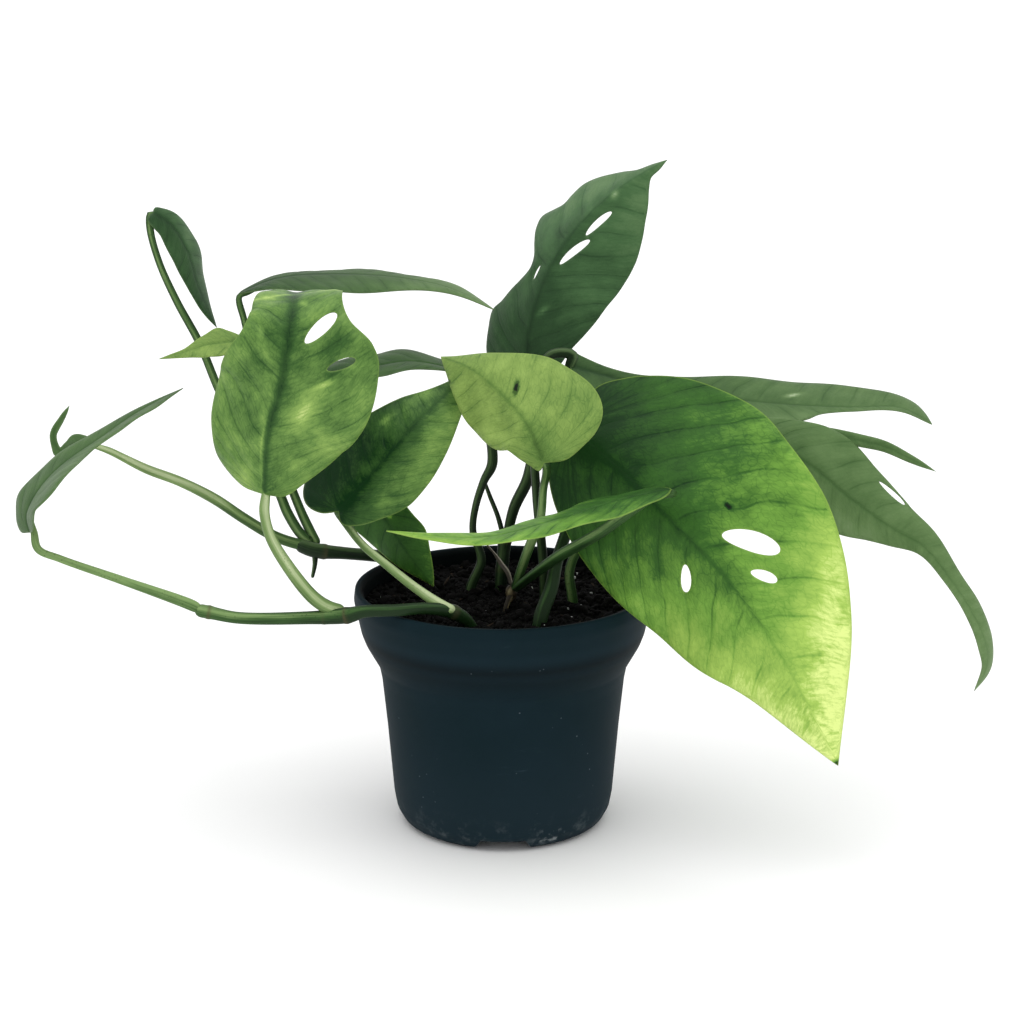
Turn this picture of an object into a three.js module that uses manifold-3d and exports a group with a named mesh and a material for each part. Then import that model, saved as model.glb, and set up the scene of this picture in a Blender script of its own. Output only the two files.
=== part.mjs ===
// A young cebu blue pothos in its nursery pot. Millimetres, +Z up.
// The origin is the centre of the pot's foot, on the surface that it stands on.
// +X runs along the plant's widest spread and -Y is the side that its big leaf faces.
import * as THREE from 'three';
import { mergeVertices } from 'three/addons/utils/BufferGeometryUtils.js';
import Module from 'manifold-3d';

const wasm = await Module();
wasm.setup();

const potHeight = 88;
const lipRadius = 53.8;
const footRadius = 34;
const footNotchCount = 3;
const footNotchHeight = 4.4;
const drainHoleCount = 6;
const drainHoleRadius = 4;
const soilTop = 82;
const soilRadiusAtTop = 49.4;
const fitGap = 0.35;
const bladeThickness = 0.8;
const veinLean = 0.45;

const stemGreen = 0x4f7a3c;
const paleStem = 0x9fb482;
const darkStem = 0x2c4429;

// Creeping stems. Each path point is x, y, z and the stem's radius there.
const vines = [
  {
    name: 'vine_front_left',
    color: stemGreen,
    paths: [
      [[-8, -27, 70, 1.8], [-11, -31, 82, 2.1], [-17, -36, 89, 2.5], [-26, -38, 91, 2.1], [-37, -40, 91, 2.1],
        [-48, -40, 90.5, 2.2], [-54, -38, 88.5, 2.8], [-68, -36, 87, 2.3], [-92, -36, 87, 2.1],
        [-102, -36, 89, 2.3], [-107, -36, 90, 2.4]],
    ],
  },
  {
    name: 'vine_back_left',
    color: darkStem,
    paths: [
      [[-24, 28, 70, 1.9], [-27, 28, 82, 2.2], [-34, 27, 89, 2.3], [-46, 24, 92, 2.3], [-58, 21, 94, 2.3],
        [-69, 18, 96, 2.8], [-76, 18, 98.5, 2.4]],
      [[-69, 18, 96, 1.3], [-69, 17, 91, 0.9], [-70, 16, 86, 0.6]],
    ],
  },
  {
    name: 'vine_centre',
    color: 0x8a7f5c,
    paths: [
      [[3, -3, 68, 1.4], [3, -4, 83, 1.6], [3, -4, 87, 2.6], [4, -5, 89, 2.2]],
      [[4, -3, 88, 1], [1, -8, 82, 0.9], [0, -10, 74, 0.7]],
    ],
  },
  {
    name: 'vine_back',
    color: darkStem,
    paths: [
      [[-1, 16, 68, 2], [-1, 16, 81, 2.3], [0, 16, 95, 2.4], [1, 16, 104, 2.6]],
      [[0, 16, 102, 1], [-2, 18, 109, 0.9], [-5, 21, 116, 0.8], [-7, 24, 121, 0.6]],
    ],
  },
];

// Each leaf is a petiole, x, y, z and radius along it, and a blade on a rib curve.
// face holds the way the upper side looks at the base, the middle and the tip.
// left and right are the margins, seen from above with the tip ahead: a share of the rib's
// length and the distance from the rib. fold lifts the halves off flat at the base and at the
// tip and curl turns them down again towards the margin, in degrees. wave is the margin's
// height, count and phase. A hole is at a share of the rib's length and a distance from the
// rib, positive on the right, and has a half length, a half width and a turn from the rib.
// A lobe is a part of the blade that a split has left on its own.
const leaves = [
  {
    name: 'front_right',
    color: 0x5c9a32,
    stem: 0x3f6e33,
    rows: 22,
    petiole: [[13, -27, 68, 2.2], [13, -27, 83, 2.5], [17, -20, 93, 2.4], [19, -14, 101, 2.2], [23, -8, 113, 2],
      [25, -5, 133, 1.7], [25, -6, 144, 1.8], [24, -12, 149, 1.6]],
    rib: [[24, -12, 149], [41, -26, 137], [58, -41.5, 123], [76, -52, 106], [93, -62, 84], [114, -70, 45]],
    face: [[-0.3, -0.8, 0.45], [-0.39, -0.91, 0.14], [-0.3, -0.95, 0.1]],
    left: [[-0.03, 17], [0, 26], [0.04, 32.5], [0.12, 41], [0.26, 48], [0.41, 47], [0.51, 44], [0.62, 36.5],
      [0.74, 26], [0.87, 13], [0.95, 5]],
    right: [[-0.02, 7], [0, 14], [0.05, 22], [0.11, 28], [0.22, 35], [0.4, 39], [0.54, 38], [0.65, 33],
      [0.81, 18.5], [0.92, 8]],
    fold: [-10, -18],
    curl: 8,
    wave: [1.2, 3, 1],
    holes: [[0.49, -14.6, 9.7, 3.4, -35], [0.562, -10.5, 4.6, 1.8, -34], [0.447, 12.3, 5.4, 2.1, 50]],
  },
  {
    name: 'front_left',
    color: 0x6f9a4a,
    stem: 0x7f9e5e,
    rows: 20,
    petiole: [[-55, -35, 89, 2.1], [-61, -36, 91, 2.4], [-66, -37, 95, 2.4], [-74, -38, 106, 2.2],
      [-80, -38, 117, 1.9], [-82, -36, 125, 1.7], [-82, -35, 131, 1.6]],
    rib: [[-82, -35, 131], [-80, -39, 152], [-75, -41, 170], [-72, -39, 187], [-71, -32, 196],
      [-71, -18, 198], [-71, -2, 194], [-71, 10, 188]],
    face: [[-0.25, -0.95, 0.2], [-0.15, -0.95, 0.4], [0.1, 0.4, 0.9]],
    left: [[0, 11], [0.06, 21], [0.15, 24], [0.23, 25.5], [0.36, 24.5], [0.44, 21.5], [0.5, 18], [0.56, 16],
      [0.62, 15], [0.7, 14.5], [0.79, 12], [0.91, 4]],
    right: [[0, 7], [0.04, 13], [0.13, 23], [0.26, 29], [0.35, 32], [0.43, 32], [0.48, 31], [0.52, 28],
      [0.57, 20], [0.62, 17], [0.72, 16], [0.81, 12], [0.91, 4]],
    fold: [-18, 12],
    curl: 8,
    wave: [0.8, 3, 1],
    holes: [[0.543, 10.4, 7, 2.3, 42], [0.445, 18, 6.3, 1.5, 63]],
  },
  {
    name: 'front_middle',
    color: 0x9dbb62,
    stem: 0x93a573,
    rows: 16,
    petiole: [[4, -5, 88, 1.5], [9, -15, 106, 1.7], [13, -24, 119, 1.5], [14, -34, 133, 1.4],
      [15, -43, 142, 1.4], [15, -46, 145, 1.3]],
    rib: [[14, -46, 145], [8, -38, 157], [0, -26, 164], [-11, -11, 170], [-22, 5, 171]],
    face: [[-0.45, -0.8, 0.4], [-0.53, -0.78, 0.3], [-0.4, -0.5, 0.7]],
    left: [[-0.02, 3], [0.03, 6], [0.1, 10], [0.25, 15], [0.43, 20], [0.63, 19], [0.78, 12], [0.9, 5]],
    right: [[-0.03, 7], [-0.01, 13], [0.04, 20], [0.12, 25], [0.2, 26], [0.32, 23], [0.44, 20],
      [0.65, 11], [0.87, 4]],
    fold: [-18, -18],
    curl: 8,
    wave: [0.6, 3, 1],
    holes: [],
  },
  {
    name: 'inner_left',
    color: 0x41702f,
    stem: paleStem,
    rows: 16,
    petiole: [[-17, -38, 91, 1.5], [-20, -36, 94, 2], [-25, -34, 97, 1.7], [-36, -30, 104, 1.5],
      [-48, -24, 114, 1.3], [-56, -18, 119, 1.4], [-58, -17, 120, 1.3]],
    rib: [[-58, -17, 120], [-44, -13, 135], [-29, -6, 151], [-17, 2, 161], [-10, 10, 167]],
    face: [[-0.3, -0.85, 0.45], [-0.2, -0.9, 0.4], [-0.1, -0.8, 0.6]],
    left: [[-0.06, 5], [-0.08, 12], [-0.04, 18], [0.09, 23], [0.23, 23], [0.36, 20], [0.49, 16],
      [0.61, 12], [0.72, 7], [0.85, 3]],
    right: [[-0.03, 4], [0.02, 9], [0.11, 13], [0.24, 17], [0.38, 17.5], [0.52, 15.5], [0.64, 13], [0.78, 8],
      [0.9, 3]],
    fold: [-8, -8],
    curl: 12,
    wave: [0.6, 3, 1],
    holes: [],
  },
  {
    name: 'hanging_inner',
    color: 0x2f5a28,
    stem: darkStem,
    rows: 12,
    petiole: [[-40, 25, 92, 1.6], [-42, 22, 101, 1.4], [-46, 18, 113, 1.1], [-51, 15, 124, 1.1],
      [-51, 12, 128, 1.1]],
    rib: [[-51, 12, 128], [-45, 9, 115], [-36, 5, 101], [-25, 1, 87]],
    face: [[-0.2, -0.95, -0.1], [-0.2, -0.95, -0.1], [-0.2, -0.95, -0.1]],
    left: [[0.03, 4], [0.16, 7], [0.3, 8], [0.46, 9.5], [0.62, 10], [0.82, 6], [0.95, 2]],
    right: [[0.03, 4], [0.13, 10], [0.24, 14], [0.32, 16], [0.42, 14], [0.52, 12], [0.75, 7], [0.92, 2]],
    fold: [-15, -15],
    curl: 10,
    wave: [0.5, 3, 1],
    holes: [],
  },
  {
    name: 'narrow_front',
    color: 0x86b14c,
    stem: 0x2c4f2a,
    rows: 16,
    petiole: [[4, -5, 88, 1.6], [11, -16, 97, 1.7], [20, -27, 107, 2], [33, -38, 118, 1.9],
      [52, -51, 135, 1.6], [57, -54, 138, 1.5]],
    rib: [[57, -54, 138], [39, -58, 135], [20, -62, 130], [-4, -64, 124], [-25, -63, 124], [-39, -60, 125]],
    face: [[-0.2, 0.05, 1], [-0.2, 0.05, 1], [0, 0.05, 1]],
    left: [[0.03, 6], [0.08, 11], [0.15, 14], [0.29, 15], [0.41, 14], [0.5, 12], [0.61, 10], [0.71, 8],
      [0.8, 6], [0.9, 3]],
    right: [[0.02, 7], [0.07, 12], [0.15, 16], [0.3, 17], [0.45, 16], [0.62, 12], [0.77, 8], [0.9, 4]],
    fold: [0, 0],
    curl: 10,
    wave: [0.6, 4, 1],
    holes: [],
  },
  {
    name: 'top_right',
    color: 0x2f5f3f,
    stem: 0x24382a,
    rows: 20,
    petiole: [[1, 16, 100, 1.6], [4, 15, 113, 2], [9, 16, 124, 2.1], [11, 19, 138, 1.8], [9, 21, 157, 1.5]],
    rib: [[9, 22, 157], [9, 28, 172], [13, 34, 188], [20, 40, 202], [31, 46, 215], [45, 51, 226],
      [60, 55, 234]],
    face: [[-0.27, -0.78, 0.53], [-0.27, -0.78, 0.53], [-0.4, -0.7, 0.6]],
    left: [[0.03, 9], [0.08, 17], [0.13, 22], [0.2, 24], [0.26, 25], [0.29, 21], [0.33, 17.5], [0.37, 13.5],
      [0.41, 11], [0.45, 12], [0.5, 17], [0.55, 22.5], [0.6, 26], [0.63, 23], [0.66, 20], [0.7, 21],
      [0.75, 21.5], [0.8, 18], [0.86, 10.5], [0.9, 5], [0.95, 3]],
    right: [[0.03, 7], [0.08, 13], [0.14, 16], [0.23, 20.5], [0.32, 24], [0.43, 26], [0.54, 26], [0.62, 25.5],
      [0.68, 24], [0.75, 20], [0.81, 15], [0.86, 10.5], [0.89, 6.5], [0.92, 3], [0.96, 1.8]],
    fold: [-28, -28],
    curl: 8,
    wave: [1, 3, 1],
    holes: [[0.523, 4.5, 7.6, 1.3, 15], [0.662, 4.6, 6.8, 1.2, 3], [0.4, -6, 2.8, 0.7, 0]],
  },
  {
    name: 'right',
    color: 0x557f4c,
    stem: 0x2f4a30,
    rows: 18,
    petiole: [[14, 3, 68, 1.8], [15, 2, 81, 1.9], [15, 0, 101, 1.7], [16, -1, 121, 1.5], [18, -2, 143, 1.4],
      [22, 1, 163, 1.4], [24, 3, 168, 1.4]],
    rib: [[24, 3, 168], [49, 9, 160], [78, 12, 154.5], [103, 14, 151.5], [125, 16, 150], [143, 17, 149.5],
      [155, 17, 143.5]],
    face: [[-0.2, -0.7, 0.8], [0, -0.45, 1], [0.05, -0.3, 1]],
    left: [[0, 6.5], [0.03, 5.5], [0.1, 4], [0.2, 4.5], [0.31, 8], [0.44, 13], [0.56, 15], [0.68, 16],
      [0.77, 14], [0.85, 11], [0.91, 9], [0.95, 7.5], [0.98, 4]],
    right: [[0, 8], [0.06, 11], [0.2, 11], [0.4, 12.5], [0.54, 12.5], [0.64, 9], [0.68, 5.5], [0.74, 3.4],
      [0.82, 2.4], [0.9, 2.6], [0.95, 1.5]],
    fold: [5, 5],
    curl: 12,
    wave: [0.8, 3, 1],
    holes: [],
  },
  {
    name: 'right_drooping',
    color: 0x3d7040,
    stem: 0x3c6a3a,
    rows: 22,
    petiole: [[25, -3, 68, 1.7], [25, -3, 83, 1.8], [24, -4, 96, 1.7], [34, -5, 114, 1.5], [51, -6, 133, 1.4],
      [69, -6, 147, 1.4], [77, -5, 149, 1.4]],
    rib: [[77, -5, 149], [91, -6, 143], [108, -8, 135], [124, -9, 122], [138.5, -11, 112], [149, -12, 106],
      [159, -13, 94], [167, -14, 82], [172, -15, 71], [173, -15, 63], [169, -15, 53]],
    face: [[0.1, -0.85, 0.45], [0.15, -0.9, 0.35], [0.6, -0.6, 0.3]],
    left: [[0.01, 4], [0.06, 7], [0.12, 11], [0.18, 14], [0.24, 17], [0.3, 18], [0.4, 15], [0.5, 11],
      [0.59, 7], [0.7, 5], [0.78, 5.5], [0.86, 5], [0.91, 4], [0.96, 2.5]],
    right: [[0.01, 7], [0.06, 12], [0.16, 15], [0.28, 16.5], [0.36, 14.5], [0.41, 12], [0.46, 8.5], [0.53, 5],
      [0.6, 3], [0.67, 2.5], [0.74, 2.5], [0.81, 3], [0.89, 3.5], [0.95, 1.5]],
    fold: [-6, -6],
    curl: 12,
    wave: [0.7, 3, 1],
    holes: [[0.447, -11.1, 6.4, 1, 8]],
    lobe: [[109, 0.5, 145.2], [116, 2, 143.8], [127, 3, 141], [136, 2, 139], [145, 0, 135], [154, -3, 131]],
  },
  {
    name: 'far_left',
    color: 0x4f7d3c,
    stem: 0x5f7f45,
    rows: 16,
    petiole: [[-105, -36, 90, 1.7], [-109, -36, 92, 2], [-133, -36, 101, 1.5], [-153, -35, 108, 1.3],
      [-161, -33, 111, 1.3], [-164, -30, 116, 1.3]],
    rib: [[-164, -30, 116], [-165, -28, 122], [-161, -24, 130], [-154, -18, 137], [-141, -9, 145],
      [-129, 0, 152], [-114, 8, 159]],
    face: [[-0.9, -0.3, 0.3], [-0.7, -0.35, 0.6], [-0.6, -0.3, 0.7]],
    left: [[0.02, 8], [0.08, 11], [0.15, 16], [0.23, 16], [0.32, 12], [0.4, 10], [0.5, 8], [0.6, 7],
      [0.79, 3], [0.93, 1]],
    right: [[0, 9], [0.05, 18], [0.11, 24], [0.18, 26], [0.3, 24], [0.4, 16], [0.47, 11], [0.54, 10],
      [0.62, 12], [0.7, 11], [0.82, 9], [0.92, 4]],
    fold: [10, 10],
    curl: 10,
    wave: [0.5, 3, 1],
    holes: [],
  },
  {
    name: 'far_left_back',
    color: 0x54793f,
    stem: 0x93ab80,
    rows: 10,
    petiole: [[-72, 18, 97.5, 2.1], [-79, 18, 99.5, 2], [-85, 18, 102, 2], [-95, 16, 109, 2],
      [-105, 16, 116, 2], [-117, 14, 123, 1.8], [-129, 13, 128, 1.7], [-142, 12, 135, 1.2],
      [-146, 12, 137, 1.1]],
    rib: [[-146, 12, 137], [-153, 18, 136], [-159, 25, 133], [-163, 29, 131], [-165, 31, 136],
      [-162, 32, 142], [-159, 33, 147]],
    face: [[-0.2, -0.6, 0.8], [-0.1, -0.9, 0.3], [0, -1, 0.1]],
    left: [[0.05, 1.5], [0.2, 3], [0.35, 5], [0.5, 4], [0.62, 1.8], [0.8, 1.4], [0.93, 0.8]],
    right: [[0.05, 1.5], [0.2, 3.5], [0.32, 4], [0.45, 2], [0.55, 1.2], [0.8, 1.2], [0.93, 0.8]],
    fold: [12, 12],
    curl: 8,
    wave: [0.3, 3, 1],
    holes: [],
  },
  {
    name: 'upper_left',
    color: 0x46664a,
    stem: 0x5a7d4a,
    rows: 14,
    petiole: [[-70, 20, 98, 1.8], [-74, 21, 101, 1.9], [-79, 22, 109, 1.9], [-82, 24, 116, 1.8],
      [-91, 28, 133, 1.7], [-102, 31, 149, 1.6], [-111, 35, 170, 1.5], [-119, 37, 185, 1.4],
      [-125, 38, 199, 1.3], [-128, 39, 211, 1.3], [-127, 40, 217, 1.3]],
    rib: [[-127, 40, 217], [-121, 43, 212], [-116, 47, 202], [-113, 52, 188], [-110, 56, 178],
      [-107, 58, 171]],
    face: [[0.6, -0.6, 0.5], [0.75, -0.6, 0.3], [0.8, -0.5, 0.3]],
    left: [[0.01, 3], [0.08, 5], [0.18, 7], [0.3, 8.5], [0.46, 8.5], [0.65, 7], [0.81, 4], [0.93, 1.5]],
    right: [[-0.02, 3], [0.03, 5], [0.17, 6.5], [0.36, 7.5], [0.59, 5], [0.81, 3], [0.92, 1.5]],
    fold: [-8, -8],
    curl: 10,
    wave: [0.4, 3, 1],
    holes: [],
  },
  {
    name: 'young_left',
    color: 0xa5c468,
    stem: 0x7f9e5e,
    rows: 10,
    petiole: [[-94, 29, 135, 1], [-93, 24, 150, 0.9], [-90, 16, 166, 0.8], [-89, 12, 176, 0.8]],
    rib: [[-89, 12, 176], [-98, 11, 175], [-106, 10, 174], [-113, 8, 172], [-122, 6, 170]],
    face: [[0, -0.5, 0.85], [0, -0.5, 0.85], [0, -0.5, 0.85]],
    left: [[0.05, 2], [0.2, 6], [0.4, 8], [0.55, 7], [0.7, 4], [0.84, 2]],
    right: [[0.05, 1.5], [0.13, 2.5], [0.23, 5], [0.36, 7], [0.48, 5], [0.6, 3], [0.72, 1.5], [0.88, 0.7]],
    fold: [10, 10],
    curl: 5,
    wave: [0.3, 3, 1],
    holes: [],
  },
  {
    name: 'long_back',
    color: 0x55804a,
    stem: 0x557548,
    rows: 14,
    petiole: [[-68, 21, 97, 1.6], [-71, 23, 102, 1.8], [-75, 26, 110, 1.7], [-84, 33, 133, 1.5],
      [-89, 37, 150, 1.3], [-95, 41, 177, 1.2], [-97, 42, 187, 1.2]],
    rib: [[-97, 42, 187], [-82, 45, 192], [-60, 47, 193], [-38, 45, 192], [-20, 41, 189], [-3, 35, 182]],
    face: [[-0.3, -0.1, 1], [0, -0.1, 1], [0.2, -0.1, 1]],
    left: [[0.04, 4], [0.13, 8], [0.3, 11], [0.47, 13], [0.66, 11], [0.8, 9], [0.92, 4]],
    right: [[0.04, 4], [0.12, 9], [0.25, 14], [0.4, 16], [0.53, 14], [0.65, 11], [0.78, 6], [0.9, 2]],
    fold: [-3, -3],
    curl: 12,
    wave: [0.6, 3, 1],
    holes: [],
  },
  {
    name: 'back_middle',
    color: 0x4a6a36,
    stem: 0x2a3b27,
    rows: 12,
    petiole: [[-12, 12, 68, 1.6], [-12, 12, 83, 1.8], [-8, 12, 94, 1.7], [-11, 12, 105, 1.3],
      [-10, 13, 114, 1.3], [-7, 15, 123, 1.5], [-4, 17, 129, 1.9], [-6, 22, 144, 1.6], [-10, 24, 158, 1.4],
      [-12, 24, 160, 1.4]],
    rib: [[-12, 24, 160], [-23, 22, 164], [-34, 20, 166], [-45, 17, 165], [-58, 13, 163], [-68, 8, 159]],
    face: [[0, -0.1, 1], [0, -0.1, 1], [0, -0.1, 1]],
    left: [[0.05, 3], [0.2, 6], [0.33, 8], [0.48, 11], [0.62, 10], [0.8, 6], [0.92, 2]],
    right: [[0.05, 3], [0.18, 10], [0.3, 13], [0.42, 15], [0.55, 15], [0.7, 12], [0.85, 5], [0.94, 2]],
    fold: [5, 5],
    curl: 12,
    wave: [0.5, 3, 1],
    holes: [],
  },
];

const radians = THREE.MathUtils.degToRad;

function solidOf(geometry) {
  const bare = geometry.clone();
  bare.deleteAttribute('normal');
  bare.deleteAttribute('uv');
  const merged = mergeVertices(bare, 1e-4);
  return new wasm.Manifold(new wasm.Mesh({
    numProp: 3,
    vertProperties: new Float32Array(merged.attributes.position.array),
    triVerts: new Uint32Array(merged.index.array),
  }));
}

function geometryOf(solid) {
  const mesh = solid.getMesh();
  const geometry = new THREE.BufferGeometry();
  geometry.setAttribute('position', new THREE.BufferAttribute(new Float32Array(mesh.vertProperties), 3));
  geometry.setIndex(new THREE.BufferAttribute(new Uint32Array(mesh.triVerts), 1));
  geometry.computeVertexNormals();
  return geometry;
}

// The biggest body of a cut solid, so that no crumb is left beside it.
function largestBody(solid) {
  const bodies = solid.decompose();
  bodies.sort((a, b) => b.volume() - a.volume());
  return bodies[0];
}

function indexedGeometry(points, triangles) {
  const geometry = new THREE.BufferGeometry();
  const coordinates = points.flatMap((p) => [p.x, p.y, p.z]);
  geometry.setAttribute('position', new THREE.Float32BufferAttribute(coordinates, 3));
  geometry.setIndex(triangles);
  return geometry;
}

function smoothCurve(points) {
  const corners = points.map((p) => new THREE.Vector3(p[0], p[1], p[2]));
  return new THREE.CatmullRomCurve3(corners, false, 'centripetal');
}

// A round shoot whose radius follows its path points, closed at both ends.
function shoot(path, extra = 0, sides = 6) {
  const curve = smoothCurve(path);
  const radii = smoothCurve(path.map((p, i) => [i, p[3], 0]));
  const steps = path.length * 2 - 1;
  const rings = [];
  let normal = new THREE.Vector3(0.31, -0.9, 0.2);
  for (let i = 0; i <= steps; i += 1) {
    const t = i / steps;
    const centre = curve.getPoint(t);
    const tangent = curve.getTangent(t);
    normal = normal.clone().addScaledVector(tangent, -normal.dot(tangent)).normalize();
    const binormal = new THREE.Vector3().crossVectors(tangent, normal);
    const radius = radii.getPoint(t).y + extra;
    if (extra > 0 && (i === 0 || i === steps)) {
      centre.addScaledVector(tangent, i === 0 ? -extra : extra);
    }
    rings.push(Array.from({ length: sides }, (_, k) => {
      const angle = (2 * Math.PI * k) / sides;
      return centre.clone()
        .addScaledVector(normal, radius * Math.cos(angle))
        .addScaledVector(binormal, radius * Math.sin(angle));
    }));
  }
  const points = rings.flat();
  const triangles = [];
  for (let i = 0; i < steps; i += 1) {
    for (let k = 0; k < sides; k += 1) {
      const a = i * sides + k;
      const b = i * sides + ((k + 1) % sides);
      triangles.push(a, b, b + sides, a, b + sides, a + sides);
    }
  }
  const last = steps * sides;
  for (let k = 1; k < sides - 1; k += 1) {
    triangles.push(0, k + 1, k, last, last + k, last + k + 1);
  }
  return solidOf(indexedGeometry(points, triangles));
}

function joined(paths, extra = 0) {
  return paths.map((path) => shoot(path, extra)).reduce((a, b) => a.add(b));
}

const widest = (edge) => Math.max(...edge.map((p) => p[1]));

// The blade's own coordinates: a distance along the rib, 0 to 1 and a little past both ends,
// and a distance sideways in millimetres, positive on the right.
function bladeSurface(leaf) {
  const curve = smoothCurve(leaf.rib);
  curve.arcLengthDivisions = 400;
  const length = curve.getLength();
  const faces = leaf.face.map((f) => new THREE.Vector3(...f).normalize());
  function frame(s) {
    const inside = THREE.MathUtils.clamp(s, 0, 1);
    const tangent = curve.getTangentAt(inside);
    const centre = curve.getPointAt(inside).addScaledVector(tangent, (s - inside) * length);
    const part = inside < 0.5 ? 0 : 1;
    const turn = THREE.MathUtils.smoothstep(inside * 2 - part, 0, 1);
    const normal = faces[part].clone().lerp(faces[part + 1], turn);
    normal.addScaledVector(tangent, -normal.dot(tangent)).normalize();
    const fold = radians(THREE.MathUtils.lerp(leaf.fold[0], leaf.fold[1], inside));
    return { centre, normal, fold, right: new THREE.Vector3().crossVectors(tangent, normal) };
  }
  function point(s, side) {
    const { centre, normal, fold, right } = frame(s);
    const halfWidth = widest(side < 0 ? leaf.left : leaf.right);
    const reach = Math.abs(side);
    const bend = radians(leaf.curl) / halfWidth;
    const end = fold - bend * reach;
    const across = (Math.sin(fold) - Math.sin(end)) / bend;
    const [height, count, phase] = leaf.wave;
    const swing = Math.sin(2 * Math.PI * count * s + phase * Math.sign(side));
    const up = (Math.cos(end) - Math.cos(fold)) / bend + height * (reach / halfWidth) ** 2 * swing;
    return centre.addScaledVector(right, Math.sign(side) * across).addScaledVector(normal, up);
  }
  function normalAt(s, side) {
    const step = 0.5;
    const forward = point(s + step / length, side).sub(point(s - step / length, side));
    const sideways = side < 0
      ? point(s, side).sub(point(s, side - step))
      : point(s, side + step).sub(point(s, side));
    return sideways.cross(forward).normalize();
  }
  return { length, point, normalAt };
}

const columns = [-1, -0.62, -0.1, 0, 0.1, 0.62, 1];

function blade(leaf) {
  const surface = bladeSurface(leaf);
  const outlines = [leaf.left, leaf.right].map((side) => (
    smoothCurve([[0, 0], ...side, [1, 0]].map(([s, width]) => [s * surface.length, width, 0]))));
  const upper = [];
  const lower = [];
  function place(s, side, ribDepth) {
    const middle = surface.point(s, side);
    const normal = surface.normalAt(s, side);
    upper.push(middle.clone().addScaledVector(normal, bladeThickness / 2));
    lower.push(middle.clone().addScaledVector(normal, -bladeThickness / 2 - ribDepth));
  }
  place(0, 0, 0.5);
  let origin = 0;
  const leastStep = 0.8 / surface.length;
  for (let i = 1; i < leaf.rows; i += 1) {
    const edges = outlines.map((outline) => outline.getPointAt(i / leaf.rows));
    const spread = edges[0].y + edges[1].y;
    const start = (edges[0].x + edges[1].x - veinLean * spread) / 2 / surface.length;
    origin = Math.max(origin + leastStep, start);
    for (const column of columns) {
      const edge = edges[column < 0 ? 0 : 1];
      const along = origin + (edge.x / surface.length - origin) * Math.abs(column) ** 1.25;
      place(along, column * edge.y, column === 0 ? 1.1 * (1 - origin) ** 0.7 : 0);
    }
  }
  place(1, 0, 0);
  const count = columns.length;
  const tip = upper.length - 1;
  const centreColumn = (count - 1) / 2;
  const triangles = [];
  const firstRow = 1;
  const lastRow = 1 + (leaf.rows - 2) * count;
  for (let j = 0; j < count - 1; j += 1) {
    triangles.push([0, firstRow + j + 1, firstRow + j], [tip, lastRow + j, lastRow + j + 1]);
  }
  for (let i = 0; i < leaf.rows - 2; i += 1) {
    for (let j = 0; j < count - 1; j += 1) {
      const a = firstRow + i * count + j;
      const [b, c, d] = [a + 1, a + 1 + count, a + count];
      if (j < centreColumn) {
        triangles.push([a, b, d], [b, c, d]);
      } else {
        triangles.push([a, b, c], [a, c, d]);
      }
    }
  }
  const rim = [0];
  for (let i = 0; i < leaf.rows - 1; i += 1) {
    rim.push(firstRow + i * count + count - 1);
  }
  rim.push(tip);
  for (let i = leaf.rows - 2; i >= 0; i -= 1) {
    rim.push(firstRow + i * count);
  }
  const under = upper.length;
  const all = triangles.flatMap(([a, b, c]) => [a, b, c, c + under, b + under, a + under]);
  rim.forEach((a, i) => {
    const b = rim[(i + 1) % rim.length];
    all.push(b, a, a + under, b, a + under, b + under);
  });
  let solid = solidOf(indexedGeometry([...upper, ...lower], all));
  for (const hole of leaf.holes) {
    solid = solid.subtract(holeCutter(surface, hole));
  }
  if (leaf.lobe) {
    solid = solid.add(splitLobe(leaf));
  }
  return solid;
}

// A long window between two side veins, cut square through the blade.
function holeCutter(surface, [s, side, halfLength, halfWidth, turn]) {
  const centre = surface.point(s, side);
  const normal = surface.normalAt(s, side);
  const forward = surface.point(s + 0.02, side).sub(centre).normalize();
  const right = new THREE.Vector3().crossVectors(forward, normal);
  const outline = new THREE.Shape();
  outline.absellipse(0, 0, halfLength, halfWidth, 0, 2 * Math.PI, false, radians(turn));
  const depth = 8;
  const geometry = new THREE.ExtrudeGeometry(outline, { depth, bevelEnabled: false, curveSegments: 9 });
  geometry.translate(0, 0, -depth / 2);
  const basis = new THREE.Matrix4().makeBasis(forward, right, normal.negate());
  basis.setPosition(centre);
  geometry.applyMatrix4(basis);
  return solidOf(geometry);
}

function splitLobe(leaf) {
  const edge = [[0.04, 1.4], [0.3, 2.3], [0.6, 2], [0.85, 1.2]];
  return blade({
    rib: leaf.lobe,
    face: [leaf.face[0], leaf.face[1], leaf.face[1]],
    rows: 9,
    left: edge,
    right: edge,
    fold: [0, 0],
    curl: 5,
    wave: [0, 1, 0],
    holes: [],
  });
}

const potOutline = [
  [0, 0], [12, 0], [12.6, 2.4], [29.8, 2.4], [30.6, 0], [footRadius, 0], [36.8, 1.6], [39, 5.6], [40, 11],
  [42.2, 37], [44, 54.5], [45, 59.5], [49.8, 68], [51.3, 72], [52.6, 81.6],
  [lipRadius - 0.2, 82.6], [lipRadius, 84], [lipRadius - 0.5, potHeight], [51.5, potHeight], [50.3, 86.4],
  [49.7, 72.6], [48.3, 68.8], [43.5, 60.2], [42.4, 55], [40.6, 37], [38.5, 12], [37.2, 8.8], [34.6, 6.4],
  [30, 5.4], [27, 4.2], [0, 4.2],
];

function lathe(profile, segments) {
  const turned = new THREE.LatheGeometry(profile.map((p) => new THREE.Vector2(...p)), segments);
  return solidOf(turned.rotateX(Math.PI / 2));
}

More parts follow.
